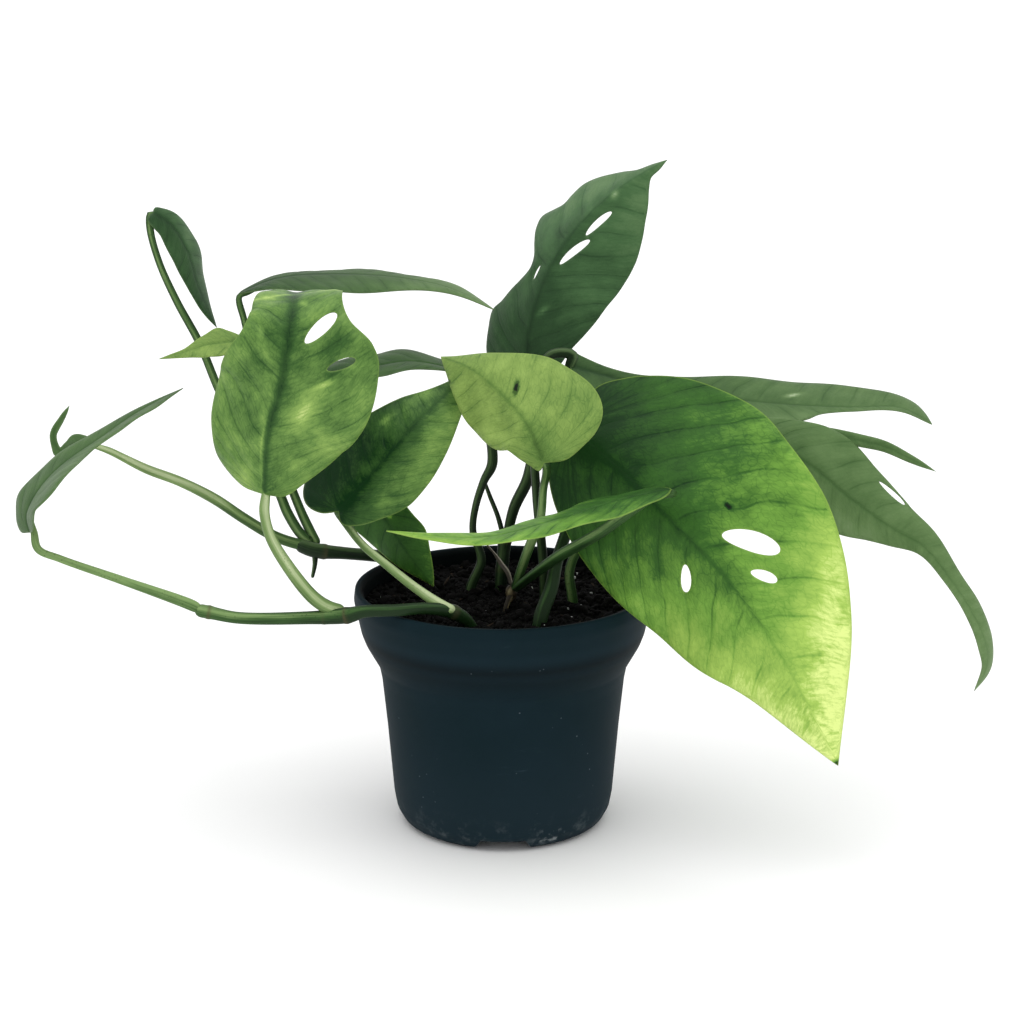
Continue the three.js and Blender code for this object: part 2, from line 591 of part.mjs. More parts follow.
function potShell() {
  let pot = lathe(potOutline, 42);
  for (let i = 0; i < footNotchCount; i += 1) {
    for (const [start, height] of [[20, 2], [31, footNotchHeight]]) {
      const notch = new THREE.Shape([[-11, -1], [11, -1], [10, 1], [8, height], [-8, height], [-10, 1]]
        .map((corner) => new THREE.Vector2(...corner)));
      const cutter = new THREE.ExtrudeGeometry(notch, { depth: 44 - start, bevelEnabled: false });
      cutter.rotateX(Math.PI / 2).translate(0, -start, 0).rotateZ((2 * Math.PI * i) / footNotchCount);
      pot = pot.subtract(solidOf(cutter));
    }
  }
  for (let i = 0; i < drainHoleCount; i += 1) {
    const cutter = new THREE.CylinderGeometry(drainHoleRadius, drainHoleRadius, 12, 16);
    cutter.rotateX(Math.PI / 2).translate(0, 22, 0).rotateZ((2 * Math.PI * (i + 0.5)) / drainHoleCount);
    pot = pot.subtract(solidOf(cutter));
  }
  return pot;
}

// The root ball fills the pot; its top is a crumbly, slightly sunken surface.
function soilBody() {
  const sides = 36;
  const inner = [[49.2, 72.8], [47.8, 69.1], [43, 60.5], [41.9, 55.3], [40.1, 37.2], [38, 12.3], [36.7, 9.2],
    [34.2, 6.9], [29.9, 5.9], [26.9, 4.7]];
  const rings = [9, 18, 26, 33, 39, 44.5, soilRadiusAtTop];
  const points = [new THREE.Vector3(0, 0, soilTop - 1)];
  const circle = (radius, heightAt) => {
    for (let k = 0; k < sides; k += 1) {
      const angle = (2 * Math.PI * k) / sides;
      const x = radius * Math.cos(angle);
      const y = radius * Math.sin(angle);
      points.push(new THREE.Vector3(x, y, heightAt(x, y)));
    }
  };
  const crumbs = (x, y) => soilTop - 0.6 + 0.7 * Math.sin(x / 3.1 + 1.3 * Math.cos(y / 4.3))
    + 0.5 * Math.cos(y / 2.7 + x / 7) + 0.0004 * (x * x + y * y);
  rings.forEach((radius) => circle(radius, crumbs));
  inner.forEach(([radius, z]) => circle(radius, () => z));
  points.push(new THREE.Vector3(0, 0, 4.7));
  const triangles = [];
  const ringCount = rings.length + inner.length;
  const end = points.length - 1;
  const at = (ring, k) => 1 + ring * sides + (k % sides);
  for (let k = 0; k < sides; k += 1) {
    triangles.push(0, at(0, k), at(0, k + 1), end, at(ringCount - 1, k + 1), at(ringCount - 1, k));
    for (let ring = 0; ring < ringCount - 1; ring += 1) {
      triangles.push(at(ring, k), at(ring + 1, k), at(ring + 1, k + 1));
      triangles.push(at(ring, k), at(ring + 1, k + 1), at(ring, k + 1));
    }
  }
  return solidOf(indexedGeometry(points, triangles));
}

const plant = new THREE.Group();

function addMesh(name, solid, color, roughness) {
  const material = new THREE.MeshStandardMaterial({ color, roughness, metalness: 0 });
  const mesh = new THREE.Mesh(geometryOf(solid), material);
  mesh.name = name;
  plant.add(mesh);
}

// A dry leaf sheath, curled to a strip, that still hangs on the middle stem.
const drySheath = [[-6, 4, 102, 0.5], [-2, 1, 98, 0.9], [1, -1.5, 94, 1.5], [3, -4, 89.5, 1.2]];

const vineSolids = vines.map((vine) => joined(vine.paths));
const vineRoom = vines.map((vine) => joined(vine.paths, fitGap)).reduce((a, b) => a.add(b));
const petioleRooms = leaves.map((leaf) => shoot(leaf.petiole, fitGap));
const petioleSolids = leaves.map((leaf, i) => {
  const older = petioleRooms.slice(0, i).reduce((a, b) => a.add(b), vineRoom);
  return largestBody(shoot(leaf.petiole).subtract(older));
});
const allShoots = petioleRooms.reduce((a, b) => a.add(b), vineRoom);

addMesh('pot', potShell(), 0x1d262b, 0.55);
addMesh('soil', largestBody(soilBody().subtract(allShoots)), 0x17130f, 0.95);
vines.forEach((vine, i) => addMesh(vine.name, vineSolids[i], vine.color, 0.45));
addMesh('sheath_dry', largestBody(shoot(drySheath).subtract(allShoots)), 0x6f6252, 0.8);
leaves.forEach((leaf, i) => {
  addMesh(`petiole_${leaf.name}`, petioleSolids[i], leaf.stem, 0.45);
  addMesh(`leaf_${leaf.name}`, largestBody(blade(leaf).subtract(petioleRooms[i])), leaf.color, 0.42);
});

export default plant;
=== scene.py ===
# Looks for the potted cebu blue pothos: leaf blades, petioles, stems, potting mix and nursery pot
import math

import bmesh
import bpy
import numpy as np
from mathutils import Matrix, Vector
from mathutils.geometry import delaunay_2d_cdt


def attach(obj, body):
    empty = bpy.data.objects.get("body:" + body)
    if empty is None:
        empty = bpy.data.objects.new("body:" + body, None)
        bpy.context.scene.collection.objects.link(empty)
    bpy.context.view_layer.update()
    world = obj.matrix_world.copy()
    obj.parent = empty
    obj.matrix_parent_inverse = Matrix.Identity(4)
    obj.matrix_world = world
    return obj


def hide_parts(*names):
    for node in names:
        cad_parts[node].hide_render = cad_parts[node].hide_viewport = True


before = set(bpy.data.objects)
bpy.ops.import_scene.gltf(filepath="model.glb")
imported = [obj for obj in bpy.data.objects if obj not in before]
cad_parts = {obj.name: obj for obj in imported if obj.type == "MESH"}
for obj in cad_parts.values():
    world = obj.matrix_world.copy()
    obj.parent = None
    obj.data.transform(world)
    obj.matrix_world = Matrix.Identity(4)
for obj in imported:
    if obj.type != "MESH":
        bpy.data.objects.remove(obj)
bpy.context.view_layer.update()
mm = 0.001
wayUnit = 10  # the ways along leaves and shoots are read by the finishes in centimetres
print("frame loaded,", len(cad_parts), "nodes")


def addObject(name, data):
    made = bpy.data.objects.new(name, data)
    bpy.context.scene.collection.objects.link(made)
    return made


# camera first
view = {"place": (3.2, -930.0, 367.0), "pitch": 15.14, "lens": 94.64, "sensor": 36, "farEnd": 50}
eye = bpy.data.cameras.new("photoEye")
eye.lens = view["lens"]
eye.sensor_width = view["sensor"]
eye.clip_end = view["farEnd"]
eyeObject = addObject("photoEye", eye)
eyeObject.location = [c * mm for c in view["place"]]
eyeObject.rotation_euler = (math.radians(90 - view["pitch"]), 0, 0)
bpy.context.scene.camera = eyeObject


# shader sums
class Tone:
    # one output of a shader node; sums with it add Math nodes
    def __init__(self, finish, socket):
        self.finish = finish
        self.socket = socket

    def sum(self, kind, a, b):
        return self.finish.node("ShaderNodeMath", {"operation": kind}, {0: a, 1: b})

    def __add__(self, other):
        return self.sum("ADD", self, other)

    def __radd__(self, other):
        return self.sum("ADD", other, self)

    def __sub__(self, other):
        return self.sum("SUBTRACT", self, other)

    def __rsub__(self, other):
        return self.sum("SUBTRACT", other, self)

    def __mul__(self, other):
        return self.sum("MULTIPLY", self, other)

    def __rmul__(self, other):
        return self.sum("MULTIPLY", other, self)


class Finish:
    # a material under construction; its node method adds any kind of node
    def __init__(self, name, **fixed):
        self.material = bpy.data.materials.new(name)
        self.material.use_nodes = True
        self.tree = self.material.node_tree
        self.shader = self.tree.nodes["Principled BSDF"]
        for socket, value in fixed.items():
            self.shader.inputs[socket.replace("_", " ")].default_value = value

    def node(self, kind, settings=None, sockets=None, output=0):
        made = self.tree.nodes.new(kind)
        for key, value in (settings or {}).items():
            if key == "stops":
                ramp = made.color_ramp
                while len(ramp.elements) < len(value):
                    ramp.elements.new(1)
                for element, (place, colour) in zip(ramp.elements, value):
                    element.position = place
                    element.color = (*colour, 1)
            else:
                setattr(made, key, value)
        for key, value in (sockets or {}).items():
            if isinstance(value, Tone):
                self.tree.links.new(value.socket, made.inputs[key])
            else:
                made.inputs[key].default_value = value
        if isinstance(output, tuple):
            return [Tone(self, made.outputs[o]) for o in output]
        return Tone(self, made.outputs[output])

    def noise(self, where, scale, detail=3.0, rough=0.5):
        return self.node("ShaderNodeTexNoise", {"noise_dimensions": "3D"},
                         {"Vector": where, "Scale": scale, "Detail": detail, "Roughness": rough})

    def cells(self, where, scale, feature="DISTANCE_TO_EDGE"):
        return self.node("ShaderNodeTexVoronoi", {"feature": feature},
                         {"Vector": where, "Scale": scale, "Randomness": 0.9})

    def ease(self, value, low, high):
        # 0 below low, 1 above high, smooth between
        return self.node("ShaderNodeMapRange", {"interpolation_type": "SMOOTHSTEP"},
                         {"Value": value, "From Min": low, "From Max": high})

    def band(self, value, rise, full, fall, end):
        # 1 between full and fall, 0 outside rise and end
        return self.ease(value, rise, full) * (1 - self.ease(value, fall, end))

    def mix(self, amount, a, b):
        return self.node("ShaderNodeMix", {"data_type": "RGBA", "clamp_factor": True},
                         {0: amount, 6: rgba(a), 7: rgba(b)}, output=2)

    def ramp(self, value, look, stops):
        # stops says where each named colour of the look stands
        colours = [(place, srgb(*look[key])) for key, place in stops.items()]
        return self.node("ShaderNodeValToRGB", {"stops": colours}, {0: value})

    def distance(self, a, b):
        return self.node("ShaderNodeVectorMath", {"operation": "DISTANCE"}, {0: a, 1: b}, output=1)

    def size(self, value):
        return self.node("ShaderNodeMath", {"operation": "ABSOLUTE"}, {0: value})

    def stretch(self, where, scale):
        return self.node("ShaderNodeVectorMath", {"operation": "MULTIPLY"}, {0: where, 1: scale})

    def combine(self, x, y, z):
        return self.node("ShaderNodeCombineXYZ", {}, {0: x, 1: y, 2: z})

    def split(self, where):
        return self.node("ShaderNodeSeparateXYZ", {}, {0: where}, output=(0, 1, 2))

    def attribute(self, name):
        return self.node("ShaderNodeAttribute", {"attribute_name": name}, output=1)

    def objectPlace(self):
        return self.node("ShaderNodeTexCoord", {}, output=3)

    def wear(self, colour, roughness, height, strength, distance=0.0004):
        bump = self.node("ShaderNodeBump", {}, {"Strength": strength, "Distance": distance,
                                                "Height": height})
        for socket, tone in (("Base Color", colour), ("Roughness", roughness), ("Normal", bump)):
            self.tree.links.new(tone.socket, self.shader.inputs[socket])
        return self.material


def rgba(colour):
    return colour if isinstance(colour, Tone) else (*colour, 1)


def srgb(red, green, blue):
    # an ordinary 0-255 colour as the shader's linear one
    channels = [c / 255 for c in (red, green, blue)]
    return tuple(round(c / 12.92 if c < 0.04045 else ((c + 0.055) / 1.055) ** 2.4, 4) for c in channels)


# curves
def smoothCurve(points, samples=500):
    # centripetal curve through all the points, evenly stepped in its own parameter
    p = np.array(points, float)
    ends = np.vstack([2 * p[0] - p[1], p, 2 * p[-1] - p[-2]])
    t = np.linspace(0, len(p) - 1, samples + 1)
    k = np.minimum(t.astype(int), len(p) - 2)
    w = (t - k)[:, None]
    a, b, c, d = ends[k], ends[k + 1], ends[k + 2], ends[k + 3]

    def gap(m, n):
        return np.maximum(np.sum((m - n) ** 2, axis=1), 1e-9)[:, None] ** 0.25

    ab, bc, cd = gap(a, b), gap(b, c), gap(c, d)
    leaveB = ((b - a) / ab - (c - a) / (ab + bc) + (c - b) / bc) * bc
    reachC = ((c - b) / bc - (d - b) / (bc + cd) + (d - c) / cd) * bc
    return (b + leaveB * w + (-3 * b + 3 * c - 2 * leaveB - reachC) * w * w
            + (2 * b - 2 * c + leaveB + reachC) * w ** 3)


def runLengths(curve):
    return np.concatenate([[0], np.cumsum(np.linalg.norm(np.diff(curve, axis=0), axis=1))])


def evenly(curve, steps):
    run = runLengths(curve)
    at = np.linspace(0, run[-1], steps + 1)
    return np.stack([np.interp(at, run, curve[:, k]) for k in range(curve.shape[1])], axis=1)


def unit(vectors):
    return vectors / np.maximum(np.linalg.norm(vectors, axis=-1, keepdims=True), 1e-9)


def ease(x, low, high):
    t = np.clip((x - low) / (high - low), 0, 1)
    return t * t * (3 - 2 * t)


def ripple(x, y, seed):
    # smooth, repeatable unevenness from -1 to 1 made of crossed waves
    total = 0
    for k in range(4):
        turn = seed * 1.7 + k * 2.1
        total = total + np.sin((x * math.cos(turn) + y * math.sin(turn)) * (1 + 0.6 * k) + seed * 3.1 + k)
    return total / 4


# meshes
def meshPiece(name, points, faces, material, nodes, attributes=None):
    mesh = bpy.data.meshes.new(name)
    mesh.from_pydata([tuple(p) for p in np.asarray(points) * mm], [], faces)
    for key, values in (attributes or {}).items():
        layer = mesh.attributes.new(key, "FLOAT_VECTOR", "POINT")
        layer.data.foreach_set("vector", np.asarray(values, np.float32).ravel())
    mesh.validate()
    mesh.shade_smooth()
    return finishPiece(addObject(name, mesh), material, nodes)


def finishPiece(piece, material, nodes):
    piece.data.materials.clear()
    piece.data.materials.append(material)
    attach(piece, "root")
    if nodes:
        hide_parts(*nodes)
    return piece


def plainMesh(holder):
    # what the modifiers of a helper object make, without the helper
    graph = bpy.context.evaluated_depsgraph_get()
    made = bpy.data.meshes.new_from_object(holder.evaluated_get(graph))
    bpy.data.objects.remove(holder)
    return made


# every shoot: its ends close over cap, in shares of the radius; the groove is a hollow between two
# lips, given by their places and widths as angles round it; strip is half the painted highlight's width
shoot = {
    "sides": 20, "step": 1.0, "fewestSteps": 6,
    "cap": (0.12, 0.35, 0.7, 1.1), "endShare": 0.02, "front": (0.31, -0.9, 0.2),
    "hollow": 0.42, "lip": 0.35, "lipPlace": 0.9, "lipWidth": 0.3, "strip": 0.55, "scarShare": 0.7,
}


def aroundShoot(angle):
    return (angle + math.pi) % (2 * math.pi) - math.pi


def tubeSkin(path, groove=0.0, rings=(), shade=(0, 0), lit=-0.8):
    # a round shoot along path (x, y, z, radius); groove hollows the side that faces the camera,
    # rings swell it at a path point (number, width, share of the radius, scar), shade lightens or darkens
    # it at even steps from root to end, partly its own tone and partly painted shade near the soil and
    # under the blades, and lit is where round it the painted highlight strip runs
    sides = shoot["sides"]
    path = np.array(path, float)
    curve = smoothCurve(path[:, :3])
    radii = smoothCurve([[i, r, 0] for i, r in enumerate(path[:, 3])])[:, 1]
    run = runLengths(curve)
    spots = [(run[int(i * (len(run) - 1) / (len(path) - 1))], width, size, mark)
             for i, width, size, mark in rings]
    steps = max(int(run[-1] / shoot["step"]), shoot["fewestSteps"])
    at = np.linspace(0, run[-1], steps + 1)
    cap = np.array(shoot["cap"])
    at = np.unique(np.concatenate([[0], cap * radii[0], at[1:-1], run[-1] - cap * radii[-1], [run[-1]]]))
    centre = np.stack([np.interp(at, run, curve[:, k]) for k in range(3)], axis=1)
    radius = np.interp(at, run, radii)
    for end, distance in ((radii[0], at), (radii[-1], run[-1] - at)):
        near = np.clip(distance / (cap[-1] * end), 0, 1)
        radius = radius * np.sqrt(np.clip(1 - (1 - near) ** 2, shoot["endShare"], 1))
    # shade along the shoot, partly its own tone and partly painted shade
    paler = np.interp(at / run[-1], np.linspace(0, 1, len(shade)), shade)
    tangent = unit(np.gradient(centre, axis=0))
    normal = np.array(shoot["front"])
    angles = np.linspace(0, 2 * math.pi, sides, endpoint=False)
    turn = aroundShoot(angles)
    # the painted highlight strip down one side of the shoot
    strip = np.exp(-(aroundShoot(turn - lit) / shoot["strip"]) ** 2)
    hollow = (1 - groove * np.exp(-(turn / shoot["hollow"]) ** 2)
              + shoot["lip"] * groove * np.exp(-((abs(turn) - shoot["lipPlace"]) / shoot["lipWidth"]) ** 2))
    points, way, tone = [], [], []
    for i in range(len(at)):
        normal = unit(normal - tangent[i] * normal.dot(tangent[i]))
        side = np.cross(tangent[i], normal)
        swell = 1 + sum(size * math.exp(-((at[i] - place) / width) ** 2) for place, width, size, _ in spots)
        scar = sum(mark * math.exp(-((at[i] - place) / (shoot["scarShare"] * width)) ** 2)
                   for place, width, _, mark in spots)
        reach = radius[i] * swell * hollow
        points.append(centre[i] + np.outer(reach * np.cos(angles), normal)
                      + np.outer(reach * np.sin(angles), side))
        way.append(np.stack([np.full(sides, at[i] / wayUnit), turn * radius[i] / wayUnit,
                             np.full(sides, scar)], axis=1))
        tone.append(np.stack([np.full(sides, paler[i]), strip, turn], axis=1))
    faces = []
    for i in range(len(at) - 1):
        for k in range(sides):
            a, b = i * sides + k, i * sides + (k + 1) % sides
            faces.append((a, b, b + sides, a + sides))
    last = (len(at) - 1) * sides
    faces.append(tuple(range(sides))[::-1])
    faces.append(tuple(range(last, last + sides)))
    return np.vstack(points), faces, np.vstack(way), np.vstack(tone)


def joinSkins(skins):
    points, faces, way, tone, start = [], [], [], [], 0
    for p, f, w, t in skins:
        points.append(p)
        way.append(w)
        tone.append(t)
        faces += [tuple(i + start for i in face) for face in f]
        start += len(p)
    return np.vstack(points), faces, np.vstack(way), np.vstack(tone)


# Each leaf as in the frame, in millimetres: a petiole (x, y, z, radius), a rib, the way the
# upper side looks at base, middle and tip (face), and the margins as shares of the rib and
# distances. fold is the blade's angle at the rib, at base and tip, curl its bend to the margin, and
# wave the margin's height, count and phase. A hole has a share of the rib, side, half length, half
# width and turn. veins counts the side veins of a half, and quilt is how far the blade swells
# between them. The rest is tone, where more is paler: fade at base, middle and tip, edges at the
# left and right margin, ribBand the dark band along the rib (the leaf's own darker green with painted
# shade in the sunk rib's groove), its width at base and tip and then its depth there, and paint in
# places (share of the rib, side, half length, half width, turn, amount; below -1 a dark mark: the
# dark brown tip, dark dots, and painted shade inside slits). Most paint is the leaf's own patches;
# some is painted highlight and painted shadow, as said at those leaves. shade is the petiole's from
# root to end, partly its own tone and partly painted shade, and lit is where round it its painted
# highlight strip runs.
plainLeaf = {"ribBand": (0.9, 0.3, 0.16, 0.06), "shade": [0, 0], "lit": -0.8, "paint": [], "holes": []}
leaves = {
    "front_right": {
        "look": ("bright", "leaf_bright"), "stem": ("green", "stem_green"),
        "veins": 17, "quilt": 0.22, "seed": 1, "fade": [-0.28, 0.08, 0.66], "edges": [0.1, 0.12],
        "ribBand": (1.2, 0.4, 0.2, 0.02), "shade": [-0.6, -0.5, -0.3], "lit": -0.8,
        "paint": [(0.405, -17.5, 1.2, 0.5, -14, -2), (1.0, 0, 1.5, 3, 0, -2), (0.1, -8, 34, 14, 0, -0.12),
            (0.06, 24, 20, 14, 0, -0.14), (0.64, -30, 26, 8, 38, 0.16), (0.8, -13, 26, 10, 25, 0.12),
            (0.45, 30, 34, 10, -10, 0.08)],
        "petiole": [[13, -27, 68, 2.2], [13, -27, 83, 2.5], [17, -20, 93, 2.4], [19, -14, 101, 2.2],
            [23, -8, 113, 2], [25, -5, 133, 1.7], [25, -6, 144, 1.8], [24, -12, 149, 1.6]],
        "rib": [[24, -12, 149], [41, -26, 137], [58, -41.5, 123], [76, -52, 106], [93, -62, 84],
            [114, -70, 45]],
        "face": [[-0.3, -0.8, 0.45], [-0.39, -0.91, 0.14], [-0.3, -0.95, 0.1]],
        "left": [[-0.03, 17], [0, 26], [0.04, 32.5], [0.12, 41], [0.26, 48], [0.41, 47], [0.51, 44],
            [0.62, 36.5], [0.74, 26], [0.87, 13], [0.95, 5]],
        "right": [[-0.02, 7], [0, 14], [0.05, 22], [0.11, 28], [0.22, 35], [0.4, 39], [0.54, 38], [0.65, 33],
            [0.81, 18.5], [0.92, 8]],
        "fold": [-10, -18], "curl": 8, "wave": [1.2, 3, 1],
        "holes": [[0.49, -14.6, 9.7, 3.4, -35], [0.562, -10.5, 4.6, 1.8, -34], [0.447, 12.3, 5.4, 2.1, 50]],
    },
    "front_left": {
        "look": ("patchy", "leaf_variegated"), "stem": ("pale", "stem_pale"),
        "veins": 16, "quilt": 0.42, "seed": 2, "fade": [0.15, 0.08, 0.26], "edges": [0.06, 0.1],
        "ribBand": (0.8, 2.8, 0.24, 0.26), "shade": [-0.1, 0, 0.1, 0.1], "lit": 0.1,
        # the lime patches are the leaf's own; the narrow pale strokes are painted highlights on ridges and
        # lips, and the thin band right across at the crest a painted highlight along it
        "paint": [(0.295, 9.2, 8, 3.6, 22, 0.36), (0.173, 19.5, 10, 6, 33, 0.12),
            (0.042, -8.8, 4.1, 5, 127, 0.2), (0.255, -3.5, 3.7, 1.4, -5, 0.25),
            (0.145, -1.7, 15, 0.5, -2, 0.22), (0.518, -9.9, 2.7, 0.9, 156, 0.2),
            (0.439, -6.3, 3, 0.8, 134, 0.2), (0.391, 14.2, 4.7, 0.8, 59, 0.4),
            (0.46, 20.2, 3.1, 0.7, 105, 0.25), (0.46, 17, 9, 7, 0, -0.14), (0.3, -12, 12, 6, 0, -0.1),
            (0.4, -17, 10, 5, 0, 0.06), (0.705, 0, 1.1, 30, 0, 0.3), (0.62, 3.8, 0.8, 1.8, 30, 0.3)],
        "petiole": [[-55, -35, 89, 2.1], [-61, -36, 91, 2.4], [-66, -37, 95, 2.4], [-74, -38, 106, 2.2],
            [-80, -38, 117, 1.9], [-82, -36, 125, 1.7], [-82, -35, 131, 1.6]],
        "rib": [[-82, -35, 131], [-80, -39, 152], [-75, -41, 170], [-72, -39, 187], [-71, -32, 196],
            [-71, -18, 198], [-71, -2, 194], [-71, 10, 188]],
        "face": [[-0.25, -0.95, 0.2], [-0.15, -0.95, 0.4], [0.1, 0.4, 0.9]],
        "left": [[0, 11], [0.06, 21], [0.15, 24], [0.23, 25.5], [0.36, 24.5], [0.44, 21.5], [0.5, 18],
            [0.56, 16], [0.62, 15], [0.7, 14.5], [0.79, 12], [0.91, 4]],
        "right": [[0, 7], [0.04, 13], [0.13, 23], [0.26, 29], [0.35, 32], [0.43, 32], [0.48, 31], [0.52, 28],
            [0.57, 20], [0.62, 17], [0.72, 16], [0.81, 12], [0.91, 4]],
        "fold": [-18, 8], "curl": 8, "wave": [0.8, 3, 1],
        "holes": [[0.543, 10.4, 7, 2.3, 42], [0.452, 18.9, 5, 1.5, 63]],
    },
    "front_middle": {
        "look": ("lime", "leaf_lime"), "stem": ("green", "stem_pale"),
        "veins": 13, "quilt": 0.22, "seed": 3, "fade": [0.1, 0.2, 0.2], "edges": [0.04, -0.04],
        "ribBand": (1.1, 0.3, 0.2, 0.14), "shade": [-0.3, 0.4, 0.1, -0.1], "lit": -0.5,
        "paint": [(0.35, 5, 12, 5, 20, 0.08), (0.1, 0, 10, 6, 0, -0.12), (0.416, 5.1, 2.2, 0.7, 45, -2.4),
            (0.855, -7.7, 0.8, 0.5, 30, -1.6), (0.394, -14, 11, 2.2, -22, 0.2), (0.605, 6.3, 2.6, 3, 46, 0.14)],
        "petiole": [[4, -5, 88, 1.5], [9, -15, 106, 1.7], [13, -24, 119, 1.5], [14, -34, 133, 1.4],
            [15, -43, 142, 1.4], [15, -46, 145, 1.3]],
        "rib": [[14, -46, 145], [8, -38, 157], [0, -26, 164], [-11, -11, 170], [-22, 5, 171]],
        "face": [[-0.45, -0.8, 0.4], [-0.53, -0.78, 0.3], [-0.4, -0.5, 0.7]],
        "left": [[-0.02, 3], [0.03, 6], [0.1, 10], [0.25, 15], [0.43, 20], [0.63, 19], [0.78, 12], [0.9, 5]],
        "right": [[-0.03, 7], [-0.01, 13], [0.04, 20], [0.12, 25], [0.2, 26], [0.32, 23], [0.44, 20],
            [0.65, 11], [0.87, 4]],
        "fold": [-18, -18], "curl": 8, "wave": [0.6, 3, 1],
    },
    "inner_left": {
        "look": ("patchy", "leaf_variegated"), "stem": ("pale", "stem_pale"),
        "veins": 13, "quilt": 0.3, "seed": 4, "fade": [-0.22, -0.04, 0.18], "edges": [-0.14, 0.2],
        "ribBand": (1.2, 0.5, 0.16, 0.1), "shade": [0.3, 0.05, 0, -0.2, -0.4], "lit": 0.6,
        # the broad dark patch at the base is a painted shadow of the front left leaf, and the two narrow pale
        # streaks on the left half are painted highlights
        "paint": [(0.2, -12, 22, 12, 0, -0.14), (0.3, 9, 14, 6, 0, 0.14), (0.62, 7, 14, 4, -15, 0.14),
            (0.653, -6.7, 8.2, 2.2, 18, 0.22), (0.48, -9.8, 3, 1.4, 14, 0.3)],
        "petiole": [[-16.5, -38, 90, 1.6], [-22, -36, 92, 1.9], [-30, -31, 96, 1.7], [-41, -24.5, 103, 1.5],
            [-49.6, -18, 108.5, 1.4], [-55, -14.5, 114.5, 1.4], [-58, -14, 119, 1.4], [-58, -17, 120, 1.3]],
        "rib": [[-58, -17, 120], [-44, -13, 135], [-29, -6, 151], [-17, 2, 161], [-10, 10, 167]],
        "face": [[-0.3, -0.85, 0.45], [-0.2, -0.9, 0.4], [-0.1, -0.8, 0.6]],
        "left": [[-0.06, 5], [-0.08, 12], [-0.04, 18], [0.09, 23], [0.23, 23], [0.36, 20], [0.49, 16],
            [0.61, 12], [0.72, 7], [0.85, 3]],
        "right": [[-0.03, 4], [0.02, 9], [0.11, 13], [0.24, 17], [0.38, 17.5], [0.52, 15.5], [0.64, 13],
            [0.78, 8], [0.9, 3]],
        "fold": [-8, -8], "curl": 12, "wave": [0.6, 3, 1],
    },
    "hanging_inner": {
        "look": ("bright", "leaf_dark"), "stem": ("dark", "stem_dark"),
        "veins": 9, "quilt": 0.2, "seed": 5, "fade": [-0.2, -0.08, 0], "edges": [0, 0.04],
        "paint": [(0.386, -1.4, 1.3, 0.6, -27, 0.6)],
        "petiole": [[-40, 25, 92, 1.6], [-42, 22, 101, 1.4], [-46, 18, 113, 1.1], [-51, 15, 124, 1.1],
            [-51, 12, 128, 1.1]],
        "rib": [[-51, 12, 128], [-45, 9, 115], [-36, 5, 101], [-25, 1, 87]],
        "face": [[-0.2, -0.95, -0.1], [-0.2, -0.95, -0.1], [-0.2, -0.95, -0.1]],
        "left": [[0.03, 4], [0.16, 7], [0.3, 8], [0.46, 9.5], [0.62, 10], [0.82, 6], [0.95, 2]],
        "right": [[0.03, 4], [0.13, 10], [0.24, 14], [0.32, 16], [0.42, 14], [0.52, 12], [0.75, 7], [0.92, 2]],
        "fold": [-15, -15], "curl": 10, "wave": [0.5, 3, 1],
    },
    "narrow_front": {
        "look": ("bright", "leaf_bright"), "stem": ("green", "stem_dark"),
        "veins": 14, "quilt": 0.12, "seed": 6, "fade": [-0.16, 0.1, 0.4], "edges": [0.1, 0],
        "ribBand": (0.6, 0.3, 0.1, 0.06), "shade": [-0.4, -0.05, 0.25], "lit": -1.2,
        "petiole": [[4, -5, 88, 1.6], [11, -16, 97, 1.7], [20, -27, 107, 2], [33, -38, 118, 1.9],
            [52, -51, 135, 1.6], [57, -54, 138, 1.5]],
        "rib": [[57, -54, 138], [39, -58, 135], [20, -62, 130], [-4, -64, 124], [-25, -63, 124],
            [-39, -60, 125]],
        "face": [[-0.2, 0.05, 1], [-0.2, 0.05, 1], [0, 0.05, 1]],
        "left": [[0.03, 6], [0.08, 11], [0.15, 14], [0.29, 15], [0.41, 14], [0.5, 12], [0.61, 10], [0.71, 8],
            [0.8, 6], [0.9, 3]],
        "right": [[0.02, 7], [0.07, 12], [0.15, 16], [0.3, 17], [0.45, 16], [0.62, 12], [0.77, 8], [0.9, 4]],
        "fold": [0, 0], "curl": 10, "wave": [0.6, 4, 1],
    },
    "top_right": {
        "look": ("dark", "leaf_dark"), "stem": ("dark", "stem_dark"),
        "veins": 13, "quilt": 0.22, "seed": 7, "fade": [-0.14, 0.06, 0.34], "edges": [0.06, 0.04],
        "paint": [(0.7, -12, 16, 8, 0, 0.08), (0.27, 3, 2.8, 1, 32, 0.4), (0.775, 0.7, 1.9, 1.2, -15, 0.45),
            (0.377, 16.9, 9, 6, 19, 0.12)],
        "petiole": [[1, 16, 100, 1.6], [4, 15, 113, 2], [9, 16, 124, 2.1], [11, 19, 138, 1.8],
            [9, 21, 157, 1.5]],
        "rib": [[9, 22, 157], [9, 28, 172], [13, 34, 188], [20, 40, 202], [31, 46, 215], [45, 51, 226],
            [60, 55, 234]],
        "face": [[-0.27, -0.78, 0.53], [-0.27, -0.78, 0.53], [-0.4, -0.7, 0.6]],
        "left": [[0.03, 9], [0.08, 17], [0.13, 22], [0.2, 24], [0.26, 25], [0.29, 21], [0.33, 17.5],
            [0.37, 13.5], [0.41, 11], [0.45, 12], [0.5, 17], [0.55, 22.5], [0.6, 26], [0.63, 23], [0.66, 20],
            [0.7, 21], [0.75, 21.5], [0.8, 18], [0.86, 10.5], [0.9, 5], [0.95, 3]],
        "right": [[0.03, 7], [0.08, 13], [0.14, 16], [0.23, 20.5], [0.32, 24], [0.43, 26], [0.54, 26],
